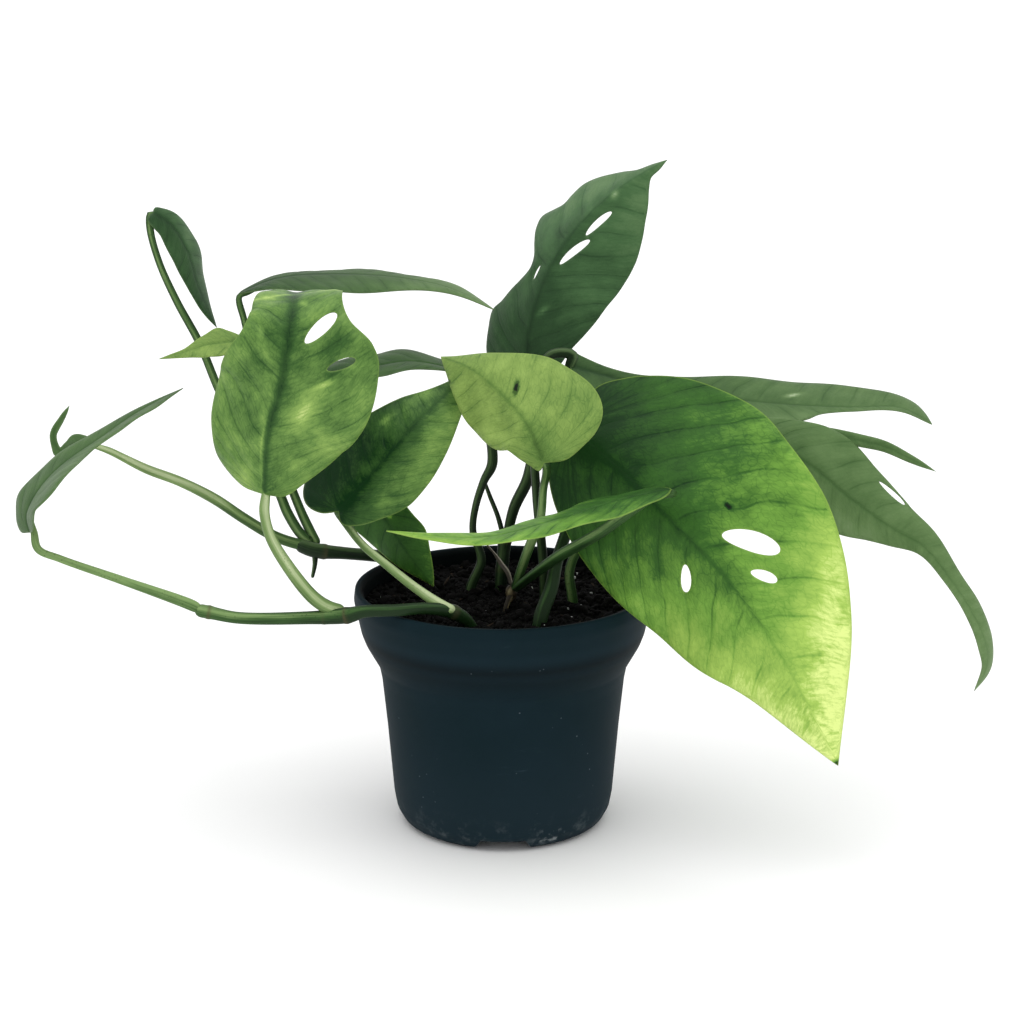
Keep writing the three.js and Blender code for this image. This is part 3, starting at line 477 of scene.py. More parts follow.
            [0.62, 25.5], [0.68, 24], [0.75, 20], [0.81, 15], [0.86, 10.5], [0.89, 6.5], [0.92, 3],
            [0.96, 1.8]],
        "fold": [-28, -28], "curl": 8, "wave": [1, 3, 1],
        "holes": [[0.523, 4.5, 7.6, 1.3, 15], [0.662, 4.6, 6.8, 1.2, 3], [0.4, -6, 2.8, 0.7, 0]],
    },
    "right": {
        "look": ("mid", "leaf_mid"), "stem": ("dark", "stem_dark"),
        "veins": 15, "quilt": 0.18, "seed": 8, "fade": [-0.18, 0.02, 0.14], "edges": [-0.04, 0.16],
        # the pale dash is a painted highlight, the light showing through a slit
        "paint": [(0.617, -5.3, 2.9, 0.8, -23, 0.9)],
        "petiole": [[14, 3, 68, 1.8], [15, 2, 81, 1.9], [14, 1, 101, 1.7], [12, 0, 121, 1.6],
            [11, 1, 148, 1.5], [13, 2.5, 165, 1.6], [16.5, 3.8, 171.6, 1.7], [20.5, 4.4, 172.6, 1.8],
            [24.6, 4.4, 171.6, 1.8], [24, 3, 168, 1.5]],
        "rib": [[24, 3, 168], [49, 9, 160], [78, 12, 154.5], [103, 14, 151.5], [125, 16, 150],
            [143, 17, 149.5], [155, 17, 143.5]],
        "face": [[-0.2, -0.7, 0.8], [0, -0.45, 1], [0.05, -0.3, 1]],
        "left": [[0, 6.5], [0.03, 5.5], [0.1, 4], [0.2, 4.5], [0.31, 8], [0.44, 13], [0.56, 15], [0.68, 16],
            [0.77, 14], [0.85, 11], [0.91, 9], [0.95, 7.5], [0.98, 4]],
        "right": [[0, 8], [0.06, 11], [0.2, 11], [0.4, 12.5], [0.54, 12.5], [0.64, 9], [0.68, 5.5],
            [0.74, 3.4], [0.82, 2.4], [0.9, 2.6], [0.95, 1.5]],
        "fold": [5, 5], "curl": 12, "wave": [0.8, 3, 1],
    },
    "right_drooping": {
        "look": ("mid", "leaf_dark"), "stem": ("green", "stem_green"),
        "veins": 16, "quilt": 0.22, "seed": 9, "fade": [0.04, 0.14, 0.32], "edges": [0.02, 0.12],
        "paint": [(0.25, 10, 30, 6, 0, 0.1)],
        "petiole": [[25, -3, 68, 1.7], [25, -3, 83, 1.8], [24, -4, 96, 1.7], [34, -5, 114, 1.5],
            [51, -6, 133, 1.4], [69, -6, 147, 1.4], [77, -5, 149, 1.4]],
        "rib": [[77, -5, 149], [91, -6, 143], [108, -8, 135], [124, -9, 122], [138.5, -11, 112],
            [149, -12, 106], [159, -13, 94], [167, -14, 82], [172, -15, 71], [173, -15, 63], [169, -15, 53]],
        "face": [[0.1, -0.85, 0.45], [0.15, -0.9, 0.35], [0.6, -0.6, 0.3]],
        "left": [[0.01, 4], [0.06, 7], [0.12, 11], [0.18, 14], [0.24, 17], [0.3, 18], [0.4, 15], [0.5, 11],
            [0.59, 7], [0.7, 5], [0.78, 5.5], [0.86, 5], [0.91, 4], [0.96, 2.5]],
        "right": [[0.01, 7], [0.06, 12], [0.16, 15], [0.28, 16.5], [0.36, 14.5], [0.41, 12], [0.46, 8.5],
            [0.53, 5], [0.6, 3], [0.67, 2.5], [0.74, 2.5], [0.81, 3], [0.89, 3.5], [0.95, 1.5]],
        "fold": [-6, -6], "curl": 12, "wave": [0.7, 3, 1],
        "holes": [[0.447, -11.1, 6.4, 1, 8]],
        "lobe": [[109, 0.5, 145.2], [116, 2, 143.8], [127, 3, 141], [136, 2, 139], [145, 0, 135],
            [154, -3, 131]],
    },
    "far_left": {
        "look": ("mid", "leaf_mid"), "stem": ("green", "stem_green"),
        "veins": 12, "quilt": 0.2, "seed": 10, "fade": [-0.12, 0, -0.06], "edges": [0, 0.06],
        "shade": [0.25, 0.45, 0.4], "lit": 0.9,
        "petiole": [[-105, -36, 90, 1.7], [-109, -36, 92, 2], [-133, -36, 101, 1.5], [-153, -35, 108, 1.3],
            [-161, -33, 111, 1.3], [-164, -30, 116, 1.3]],
        "rib": [[-164, -30, 116], [-165, -28, 122], [-161, -24, 130], [-154, -18, 137], [-141, -9, 145],
            [-129, 0, 152], [-114, 8, 159]],
        "face": [[-0.9, -0.3, 0.3], [-0.7, -0.35, 0.6], [-0.6, -0.3, 0.7]],
        "left": [[0.02, 8], [0.08, 11], [0.15, 16], [0.23, 16], [0.32, 12], [0.4, 10], [0.5, 8], [0.6, 7],
            [0.79, 3], [0.93, 1]],
        "right": [[0, 9], [0.05, 18], [0.11, 24], [0.18, 26], [0.3, 24], [0.4, 16], [0.47, 11], [0.54, 10],
            [0.62, 12], [0.7, 11], [0.82, 9], [0.92, 4]],
        "fold": [10, 10], "curl": 10, "wave": [0.5, 3, 1],
    },
    "far_left_back": {
        "look": ("mid", "leaf_mid"), "stem": ("pale", "stem_pale"),
        "veins": 6, "quilt": 0.1, "seed": 11, "fade": [0, 0, 0.1], "edges": [0, 0],
        "shade": [-0.5, -0.35, -0.1, 0.1, 0.2, 0], "lit": 0.2,
        "petiole": [[-72, 18, 97.5, 2.1], [-79, 18, 99.5, 2], [-85, 18, 102, 2], [-95, 16, 109, 2],
            [-105, 16, 116, 2], [-117, 14, 123, 1.8], [-129, 13, 128, 1.7], [-142, 12, 135, 1.2],
            [-146, 12, 137, 1.1]],
        "rib": [[-146, 12, 137], [-153, 18, 136], [-159, 25, 133], [-163, 29, 131], [-165, 31, 136],
            [-162, 32, 142], [-159, 33, 147]],
        "face": [[-0.2, -0.6, 0.8], [-0.1, -0.9, 0.3], [0, -1, 0.1]],
        "left": [[0.05, 1.5], [0.2, 3], [0.35, 5], [0.5, 4], [0.62, 1.8], [0.8, 1.4], [0.93, 0.8]],
        "right": [[0.05, 1.5], [0.2, 3.5], [0.32, 4], [0.45, 2], [0.55, 1.2], [0.8, 1.2], [0.93, 0.8]],
        "fold": [12, 12], "curl": 8, "wave": [0.3, 3, 1],
    },
    "upper_left": {
        "look": ("dark", "leaf_mid"), "stem": ("green", "stem_green"),
        "veins": 9, "quilt": 0.15, "seed": 12, "fade": [0.04, 0.12, 0.04], "edges": [0.04, 0.04],
        "shade": [0.05, -0.05, -0.1], "lit": -0.3,
        "paint": [(0.3, -4, 12, 4, 0, 0.12)],
        "petiole": [[-70, 20, 98, 1.8], [-74, 21, 101, 1.9], [-79, 22, 109, 1.9], [-82, 24, 116, 1.8],
            [-91, 28, 133, 1.7], [-102, 31, 149, 1.6], [-111, 35, 170, 1.5], [-119, 37, 185, 1.4],
            [-125, 38, 199, 1.3], [-128, 39, 211, 1.3], [-127, 40, 217, 1.3]],
        "rib": [[-127, 40, 217], [-121, 43, 212], [-116, 47, 202], [-113, 52, 188], [-110, 56, 178],
            [-107, 58, 171]],
        "face": [[0.6, -0.6, 0.5], [0.75, -0.6, 0.3], [0.8, -0.5, 0.3]],
        "left": [[0.01, 3], [0.08, 5], [0.18, 7], [0.3, 8.5], [0.46, 8.5], [0.65, 7], [0.81, 4], [0.93, 1.5]],
        "right": [[-0.02, 3], [0.03, 5], [0.17, 6.5], [0.36, 7.5], [0.59, 5], [0.81, 3], [0.92, 1.5]],
        "fold": [-8, -8], "curl": 10, "wave": [0.4, 3, 1],
    },
    "young_left": {
        "look": ("lime", "leaf_lime"), "stem": ("pale", "stem_pale"),
        "veins": 7, "quilt": 0.1, "seed": 13, "fade": [0.14, 0.14, 0.14], "edges": [0, 0],
        "petiole": [[-94, 29, 135, 1], [-93, 24, 150, 0.9], [-90, 16, 166, 0.8], [-89, 12, 176, 0.8]],
        "rib": [[-89, 12, 176], [-98, 11, 175], [-106, 10, 174], [-113, 8, 172], [-122, 6, 170]],
        "face": [[0, -0.5, 0.85], [0, -0.5, 0.85], [0, -0.5, 0.85]],
        "left": [[0.05, 2], [0.2, 6], [0.4, 8], [0.55, 7], [0.7, 4], [0.84, 2]],
        "right": [[0.05, 1.5], [0.13, 2.5], [0.23, 5], [0.36, 7], [0.48, 5], [0.6, 3], [0.72, 1.5],
            [0.88, 0.7]],
        "fold": [10, 10], "curl": 5, "wave": [0.3, 3, 1],
    },
    "long_back": {
        "look": ("mid", "leaf_mid"), "stem": ("green", "stem_green"),
        "veins": 14, "quilt": 0.18, "seed": 14, "fade": [-0.26, -0.1, 0.34], "edges": [0, 0.02],
        "shade": [0.05, -0.1], "lit": -0.3,
        "petiole": [[-68, 21, 97, 1.6], [-71, 23, 102, 1.8], [-75, 26, 110, 1.7], [-84, 33, 133, 1.5],
            [-89, 37, 150, 1.3], [-95, 41, 177, 1.2], [-97, 42, 187, 1.2]],
        "rib": [[-97, 42, 187], [-82, 45, 192], [-60, 47, 193], [-38, 45, 192], [-20, 41, 189], [-3, 35, 182]],
        "face": [[-0.3, -0.1, 1], [0, -0.1, 1], [0.2, -0.1, 1]],
        "left": [[0.04, 4], [0.13, 8], [0.3, 11], [0.47, 13], [0.66, 11], [0.8, 9], [0.92, 4]],
        "right": [[0.04, 4], [0.12, 9], [0.25, 14], [0.4, 16], [0.53, 14], [0.65, 11], [0.78, 6], [0.9, 2]],
        "fold": [-3, -3], "curl": 12, "wave": [0.6, 3, 1],
    },
    "back_middle": {
        "look": ("mid", "leaf_mid"), "stem": ("dark", "stem_dark"),
        "veins": 9, "quilt": 0.15, "seed": 15, "fade": [-0.18, -0.16, -0.3], "edges": [0, 0],
        "ribBand": (0.5, 0.3, 0.03, 0), "shade": [0, 0], "lit": -0.8,
        "petiole": [[-12, 12, 68, 1.6], [-12, 12, 83, 1.8], [-8, 12, 94, 1.7], [-11, 12, 105, 1.3],
            [-10, 13, 114, 1.3], [-7, 15, 123, 1.5], [-4, 17, 129, 1.9], [-6, 22, 144, 1.6],
            [-10, 24, 158, 1.4], [-12, 24, 160, 1.4]],
        "rib": [[-12, 24, 160], [-23, 22, 164], [-34, 20, 166], [-45, 17, 165], [-58, 13, 163], [-68, 8, 159]],
        "face": [[0, -0.1, 1], [0, -0.1, 1], [0, -0.1, 1]],
        "left": [[0.05, 3], [0.2, 6], [0.33, 8], [0.48, 11], [0.62, 10], [0.8, 6], [0.92, 2]],
        "right": [[0.05, 3], [0.18, 10], [0.3, 13], [0.42, 15], [0.55, 15], [0.7, 13.5], [0.8, 12.5],
            [0.89, 10.5], [0.96, 5]],
        "fold": [5, 5], "curl": 12, "wave": [0.5, 3, 1],
    },
}
# the lobe that a split has left on its own on the drooping leaf
splitLobe = {
    "left": [[0.04, 1.4], [0.3, 2.3], [0.6, 2], [0.85, 1.2]],
    "right": [[0.04, 1.4], [0.3, 2.3], [0.6, 2], [0.85, 1.2]],
    "fold": [0, 0], "curl": 5, "wave": [0, 1, 0], "veins": 5, "quilt": 0.05, "fade": [0.05, 0.1, 0.15],
    "edges": [0, 0], "paint": [], "holes": [],
}
# creeping stems: finish, slot, paths (x, y, z, radius), rings, shade (partly painted shade near the
# pot) and lit strip (a painted highlight)
vines = {
    "front_left": ("green", "stem_green", [
        [[-8, -27, 70, 1.8], [-11, -31, 82, 2.1], [-17, -36, 89, 2.5], [-26, -38, 91, 2.1], [-37, -40, 91, 2.1],
         [-48, -40, 90.5, 2.2], [-54, -38, 88.5, 2.8], [-68, -36, 87, 2.3], [-92, -36, 87, 2.1],
         [-102, -36, 89, 2.3], [-107, -36, 90, 2.4]]],
        [(2, 0.8, 0.12, 0.8), (6, 0.8, 0.1, 0.9), (6.6, 0.5, 0.06, 0.5), (9, 0.8, 0.1, 0.8)],
        [-0.6, -0.55, -0.45, -0.2, 0.05, 0.15], 0.9),
    "back_left": ("dark", "stem_dark", [
        [[-24, 28, 70, 1.9], [-27, 28, 82, 2.2], [-34, 27, 89, 2.3], [-46, 24, 92, 2.3], [-58, 21, 94, 2.3],
         [-69, 18, 96, 2.8], [-76, 18, 98.5, 2.4]],
        [[-69, 18, 96, 1.3], [-69, 17, 91, 0.9], [-70, 16, 86, 0.6]]],
        [(2.2, 0.8, 0.1, 0.7), (4.7, 0.8, 0.12, 0.8)], [-0.3, -0.1, 0, 0.1], 0.9),
    "centre": ("brown", "stem_brown", [
        [[3, -3, 68, 1.4], [3, -4, 83, 1.6], [3, -4, 87, 2.1], [4, -5, 89, 1.6]],
        [[4, -3, 88, 1], [1, -8, 82, 0.9], [0, -10, 74, 0.7]]],
        [(2, 0.6, 0.1, 0.8)], [-0.3, -0.15], -0.8),
    "back": ("dark", "stem_dark", [
        [[-1, 16, 68, 2], [-1, 16, 81, 2.3], [0, 16, 95, 2.4], [1, 16, 104, 2.6]],
        [[0, 16, 102, 1], [-2, 18, 109, 0.9], [-5, 21, 116, 0.8], [-7, 24, 121, 0.6]]],
        [(1.6, 0.7, 0.1, 0.6), (2.6, 0.7, 0.1, 0.7)], [-0.2, 0], -0.8),
}


# the same blade surface as the frame's: a rib, a fold at it, a curl and a waved margin
class BladeForm:
    def __init__(self, leaf):
        self.leaf = leaf
        self.count = 400
        rib = smoothCurve(leaf["rib"], 800)
        self.length = runLengths(rib)[-1]
        self.centre = evenly(rib, self.count)
        self.forward = unit(np.gradient(self.centre, axis=0))
        faces = unit(np.array(leaf["face"], float))
        share = np.linspace(0, 1, self.count + 1)
        turn = ease(np.where(share < 0.5, share * 2, share * 2 - 1), 0, 1)[:, None]
        early = (share < 0.5)[:, None]
        low, high = np.where(early, faces[0], faces[1]), np.where(early, faces[1], faces[2])
        up = low + (high - low) * turn
        self.up = unit(up - np.sum(up * self.forward, axis=1)[:, None] * self.forward)
        self.right = np.cross(self.forward, self.up)
        self.widest = [max(p[1] for p in leaf[key]) for key in ("left", "right")]

    def at(self, table, share):
        place = np.clip(share, 0, 1) * self.count
        k = np.clip(place.astype(int), 0, self.count - 1)
        w = (place - k)[:, None]
        return table[k] * (1 - w) + table[k + 1] * w

    def point(self, share, side):
        inside = np.clip(share, 0, 1)
        beyond = ((share - inside) * self.length)[:, None]
        centre = self.at(self.centre, share) + self.at(self.forward, share) * beyond
        halfWidth = np.where(side < 0, *self.widest)
        reach = np.abs(side)
        bend = math.radians(self.leaf["curl"]) / halfWidth
        foldBase, foldTip = self.leaf["fold"]
        fold = np.radians(foldBase + (foldTip - foldBase) * inside)
        end = fold - bend * reach
        across = (np.sin(fold) - np.sin(end)) / bend
        height, count, phase = self.leaf["wave"]
        swing = np.sin(2 * math.pi * count * share + phase * np.sign(side))
        rise = (np.cos(end) - np.cos(fold)) / bend + height * (reach / halfWidth) ** 2 * swing
        return (centre + self.at(self.right, share) * (np.sign(side) * across)[:, None]
                + self.at(self.up, share) * rise[:, None])

    def normal(self, share, side, step=0.6):
        ahead = self.point(share + step / self.length, side) - self.point(share - step / self.length, side)
        aside = self.point(share, side + step) - self.point(share, side - step)
        return unit(np.cross(aside, ahead))


# every blade: step is the mean edge of its triangles, and the shares after it are of that step;
# besideRib are rows of points along the rib. Then the side veins' lean, bend and the right half's
# shift, and in mm the sunk rib above, the ridge below, the swelling and the blade's thickness
blade = {
    "step": 1.15, "edgeShare": 0.85, "rowShare": 0.87, "ribShare": 0.8, "holeShare": 1.5,
    "clearShare": 0.42, "besideRib": (-1.9, -1.15, -0.55, 0.55, 1.15, 1.9), "leastHalf": 0.12,
    "veinLean": 0.85, "veinBend": 1.25, "veinShift": 0.45, "veinSteps": 300,
    "ribSunk": 0.35, "ribRidge": 1.05, "veinRidge": 0.12, "uneven": 0.35, "unevenPitch": 9,
    "edgeThick": 0.34, "innerThick": 0.36,
}


def insideLoop(points, loop):
    # even-odd test of many points against one closed outline
    x, y = points[:, 0][:, None], points[:, 1][:, None]
    a, b = loop, np.roll(loop, -1, axis=0)
    cross = (a[:, 1] > y) != (b[:, 1] > y)
    rise = np.where(a[:, 1] == b[:, 1], 1e-9, b[:, 1] - a[:, 1])
    left = x < (b[:, 0] - a[:, 0]) * (y - a[:, 1]) / rise + a[:, 0]
    return (np.sum(cross & left, axis=1) % 2) == 1


def gapTo(points, loop):
    # distance of many points from the nearest stretch of a closed outline
    a, b = loop, np.roll(loop, -1, axis=0)
    run = b - a
    length = np.maximum(np.sum(run ** 2, axis=1), 1e-9)
    best = np.full(len(points), 1e9)
    for start in range(0, len(points), 2000):
        part = points[start:start + 2000]
        t = np.clip(((part[:, None] - a) * run).sum(axis=2) / length, 0, 1)
        gaps = np.linalg.norm(part[:, None] - (a + t[..., None] * run), axis=2)
        best[start:start + 2000] = gaps.min(axis=1)
    return best


def turned(x, y, degrees):
    c, s = math.cos(math.radians(degrees)), math.sin(math.radians(degrees))
    return x * c - y * s, x * s + y * c


def bladeMargins(leaf, form, edgeStep):
    margins = []
    for key in ("left", "right"):
        edge = np.array([[0, 0], *leaf[key], [1, 0]], float)
        edge = np.column_stack([edge[:, 0] * form.length, edge[:, 1], np.zeros(len(edge))])
        margins.append(smoothCurve(edge, 900)[:, :2])
    steps = max(int(max(runLengths(m)[-1] for m in margins) / edgeStep), 16)
    margins = [evenly(m, steps) for m in margins]
    for margin in margins:
        margin[1:-1, 1] = np.maximum(margin[1:-1, 1], blade["leastHalf"])
    return margins


def veinNumbers(along, side, margins, form, count):
    # which side vein a place lies on: 0 at the base to count at the tip, whole numbers on veins.
    # The veins fan out of the rib and reach the margin at even steps, as in the frame's blades.
    steps = blade["veinSteps"]
    fine = [evenly(m, steps) for m in margins]
    spread = fine[0][:, 1] + fine[1][:, 1]
    root = np.maximum((fine[0][:, 0] + fine[1][:, 0] - blade["veinLean"] * spread) / 2, 0)
    root = np.maximum.accumulate(root) + np.linspace(0, 0.02 * form.length, steps + 1)
    numbers = np.zeros(len(along))
    for edge, half, shift in ((fine[0], side < 0, 0), (fine[1], side >= 0, blade["veinShift"])):
        chosen = np.where(half)[0]
        for start in range(0, len(chosen), 4000):
            part = chosen[start:start + 4000]
            reach = np.clip(np.abs(side[part])[:, None] / np.maximum(edge[:, 1], 1e-3), 0, 1.0001)
            ahead = root + (edge[:, 0] - root) * reach ** blade["veinBend"] - along[part][:, None]
            usable = np.abs(side[part])[:, None] <= edge[:, 1] + 0.05
            passed = usable & (ahead >= 0)
            k = np.where(passed.any(axis=1), passed.argmax(axis=1), steps)
            last = np.maximum(k - 1, 0)
            rows = np.arange(len(part))
            low, high = ahead[rows, last], ahead[rows, k]
            w = np.where(usable[rows, last] & (high > low), -low / np.maximum(high - low, 1e-6), 1)
            numbers[part] = (last + np.clip(w, 0, 1)) / steps * count
        numbers[chosen] += shift
    return numbers


def holeOutline(hole, form, step):
    # a slightly uneven oval, laid flat as the blade is
    share, side, halfLength, halfWidth, turn = hole
    count = max(int(2.2 * (halfLength + halfWidth) / step * blade["holeShare"]), 20)
    around = np.linspace(0, 2 * math.pi, count, endpoint=False)
    flanks = np.sin(around) * halfWidth * (1 + 0.16 * np.cos(around + 0.6))
    along, aside = turned(np.cos(around) * halfLength, flanks, turn)
    return np.column_stack([share * form.length + along, side + aside])


def flatBlade(leaf, form, step):
    # the blade laid flat, as triangles: (distance along the rib, distance to the side)
    margins = bladeMargins(leaf, form, step * blade["edgeShare"])
    left, right = margins
    outline = np.vstack([left * [1, -1], (right[1:-1])[::-1]])
    holes = [holeOutline(hole, form, step) for hole in leaf["holes"]]
    loops = [outline, *holes]

    def onBlade(places):
        keep = insideLoop(places, outline)
        for hole in holes:
            keep &= ~insideLoop(places, hole)
        return keep

    low, high = outline.min(axis=0), outline.max(axis=0)
    rows = []
    for i, y in enumerate(np.arange(low[1], high[1], step * blade["rowShare"])):
        x = np.arange(low[0] + (i % 2) * step / 2, high[0], step)
        rows.append(np.column_stack([x, np.full(len(x), y)]))
    grid = np.vstack(rows)
    grid = grid[np.abs(grid[:, 1]) > blade["besideRib"][-1] + step * 0.4]
    ribSteps = np.arange(step * blade["ribShare"], form.length - step * 0.5, step * blade["ribShare"])
    beside = [np.column_stack([ribSteps, np.full(len(ribSteps), y)]) for y in blade["besideRib"]]
    inner = np.vstack([grid, *beside])
    inner = inner[onBlade(inner)]
    clear = np.min([gapTo(inner, loop) for loop in loops], axis=0)
    inner = inner[clear > step * blade["clearShare"]]
    coordinates, edges = [], []
    for loop in loops:
        start = len(coordinates)
        coordinates += [Vector(p) for p in loop]
        edges += [(start + i, start + (i + 1) % len(loop)) for i in range(len(loop))]
    # the rib is an edge all along, so the crease in it stays sharp
    tipIndex = len(left) - 1
    start = len(coordinates)
    coordinates += [Vector((x, 0)) for x in ribSteps]
    chain = [0, *range(start, start + len(ribSteps)), tipIndex]
    edges += list(zip(chain[:-1], chain[1:]))
    coordinates += [Vector(p) for p in inner]
    points, _, faces, *_ = delaunay_2d_cdt(coordinates, edges, [], 0, 1e-5)
    points = np.array([[p.x, p.y] for p in points])
    faces = np.array([f for f in faces if len(f) == 3])
    faces = faces[onBlade(points[faces].mean(axis=1))]
    used = np.unique(faces)
    renumber = np.full(len(points), -1)
    renumber[used] = np.arange(len(used))
    points, faces = points[used], renumber[faces]
    a, b, c = points[faces[:, 0]], points[faces[:, 1]], points[faces[:, 2]]
    area = (b[:, 0] - a[:, 0]) * (c[:, 1] - a[:, 1]) - (b[:, 1] - a[:, 1]) * (c[:, 0] - a[:, 0])
    faces[area > 0] = faces[area > 0][:, ::-1]
    clear = np.min([gapTo(points, loop) for loop in loops], axis=0)
    return points, faces, clear, margins


def openEdges(faces):
    once = set()
    for a, b, c in faces:
        for edge in ((a, b), (b, c), (c, a)):
            if (edge[1], edge[0]) in once:
                once.remove((edge[1], edge[0]))
            else:
                once.add(edge)
    return sorted(once)


def bladeTone(leaf, form, along, side, clear):
    # how much paler than its finish's middle tone each place of a blade is
    share, reach = along / form.length, np.abs(side)
    # the dark band along the rib: the leaf's own darker green with painted shade in the sunk rib's groove
    ribWidth = np.interp(share, [0, 1], leaf["ribBand"][:2])
    ribDark = np.interp(share, [0, 1], leaf["ribBand"][2:])
    tone = -ribDark * np.exp(-(reach / ribWidth) ** 2) * ease(clear, 0, 2)
    tone += np.interp(share, [0, 0.5, 1], leaf["fade"])
    tone += np.where(side < 0, *leaf["edges"]) * reach / np.where(side < 0, *form.widest)
    for at, aside, halfLength, halfWidth, turn, amount in leaf["paint"]:
        x, y = turned(along - at * form.length, side - aside, -turn)
        tone += amount * np.exp(-((x / halfLength) ** 2 + (y / halfWidth) ** 2))
    return tone, ribWidth


def bladeSkin(leaf):
    # a thin closed blade with a sunk rib above, a raised one below, and quilting between veins
    form = BladeForm(leaf)
    flat, faces, clear, margins = flatBlade(leaf, form, blade["step"])
    along, side = flat[:, 0], flat[:, 1]
    share = along / form.length
    reach = np.abs(side)
    number = veinNumbers(along, side, margins, form, leaf["veins"])
    paint, ribWidth = bladeTone(leaf, form, along, side, clear)
    between = np.abs(np.mod(number, 1) - 0.5) * 2
    fadeIn = ease(reach, 0.8, 5) * ease(clear, 0, 3)
    body = np.clip(1 - share, 0.02, 1)
    quilt = leaf["quilt"] * (1 - between ** 2.2) * fadeIn
    pitch = blade["unevenPitch"]
    uneven = (blade["uneven"] * ripple(along / pitch, side / pitch, leaf["seed"])
              * ease(clear, 0, 6) * ease(reach, 1, 8))
    sunk = blade["ribSunk"] * body ** 0.5 * np.exp(-(reach / np.maximum(ribWidth, 0.5)) ** 2)
    ridge = blade["ribRidge"] * body ** 0.7 * np.exp(-reach ** 2) + blade["veinRidge"] * between ** 8 * fadeIn
    ridge = ridge * ease(clear, 0, 1.2)
    thickness = blade["edgeThick"] + blade["innerThick"] * ease(clear, 0, 2.2)
    middle = form.point(share, side)
    normal = form.normal(share, side)
    top = middle + normal * (quilt + uneven - sunk + thickness / 2)[:, None]
    bottom = middle + normal * (quilt + uneven - thickness / 2 - ridge)[:, None]
    count = len(flat)
    faces = [tuple(f) for f in faces.tolist()]
    skin = faces + [(c + count, b + count, a + count) for a, b, c in faces]
    skin += [(b, a, a + count, b + count) for a, b in openEdges(faces)]
    way = np.column_stack([along / wayUnit, side / wayUnit, number])
    tone = np.column_stack([paint, clear, np.zeros(count)])
    under = tone + [0, 0, 1]
    return np.vstack([top, bottom]), skin, np.vstack([way, way]), np.vstack([tone, under]), form


# what a leaf's blade is painted with: colours from the darkest to the palest, the underside's, and
# how strong the veins, the shade beside them, the net, streaks, flecks and mottle are
leafStops = {"deep": 0.0, "mid": 0.3, "light": 0.52, "pale": 0.78, "palest": 1.0}
darkMarkAndSlitShadeColour = (10, 24, 8)
leafLooks = {
    "bright": {"deep": (18, 54, 16), "mid": (54, 98, 34), "light": (108, 154, 60), "pale": (166, 200, 92),
               "palest": (222, 240, 144), "under": (112, 142, 80), "veins": 0.13, "beside": 0.07, "net": 0.12,
               "streaks": 0.24, "flecks": 0.22, "mottle": 0.22, "gloss": 0.48},
    "patchy": {"deep": (7, 46, 13), "mid": (56, 92, 40), "light": (98, 134, 64), "pale": (144, 176, 90),
               "palest": (196, 214, 132), "under": (112, 136, 90), "veins": 0.12, "beside": 0.05, "net": 0.14,
               "streaks": 0.2, "flecks": 0.34, "mottle": 0.36, "gloss": 0.4},
    "lime": {"deep": (58, 88, 34), "mid": (94, 126, 58), "light": (126, 154, 76), "pale": (152, 180, 94),
             "palest": (186, 206, 126), "under": (136, 156, 98), "veins": 0.16, "beside": 0.06, "net": 0.2,
             "streaks": 0.2, "flecks": 0.32, "mottle": 0.3, "gloss": 0.48},
    "dark": {"deep": (18, 44, 20), "mid": (40, 70, 38), "light": (64, 98, 58), "pale": (98, 128, 84),
             "palest": (136, 160, 120), "under": (94, 120, 82), "veins": 0.1, "beside": 0.06, "net": 0.05,
             "streaks": 0.3, "flecks": 0.16, "mottle": 0.16, "gloss": 0.42},
    "mid": {"deep": (38, 66, 32), "mid": (68, 98, 52), "light": (94, 122, 74), "pale": (122, 146, 102),
            "palest": (150, 170, 130), "under": (98, 124, 82), "veins": 0.1, "beside": 0.06, "net": 0.05,
            "streaks": 0.26, "flecks": 0.16, "mottle": 0.16, "gloss": 0.45},
}
# shoots from dark to pale
stemStops = {"deep": 0.1, "mid": 0.45, "pale": 0.85}
scarColour = (84, 74, 52)
stemLooks = {
    "green": {"deep": (24, 46, 20), "mid": (56, 88, 42), "pale": (124, 152, 94), "streaks": 0.8},
    "pale": {"deep": (62, 90, 46), "mid": (120, 146, 88), "pale": (184, 198, 152), "streaks": 0.7},
    "dark": {"deep": (10, 20, 10), "mid": (30, 50, 26), "pale": (78, 102, 62), "streaks": 0.8},
    "brown": {"deep": (34, 28, 18), "mid": (86, 78, 54), "pale": (142, 134, 100), "streaks": 1.0},
}


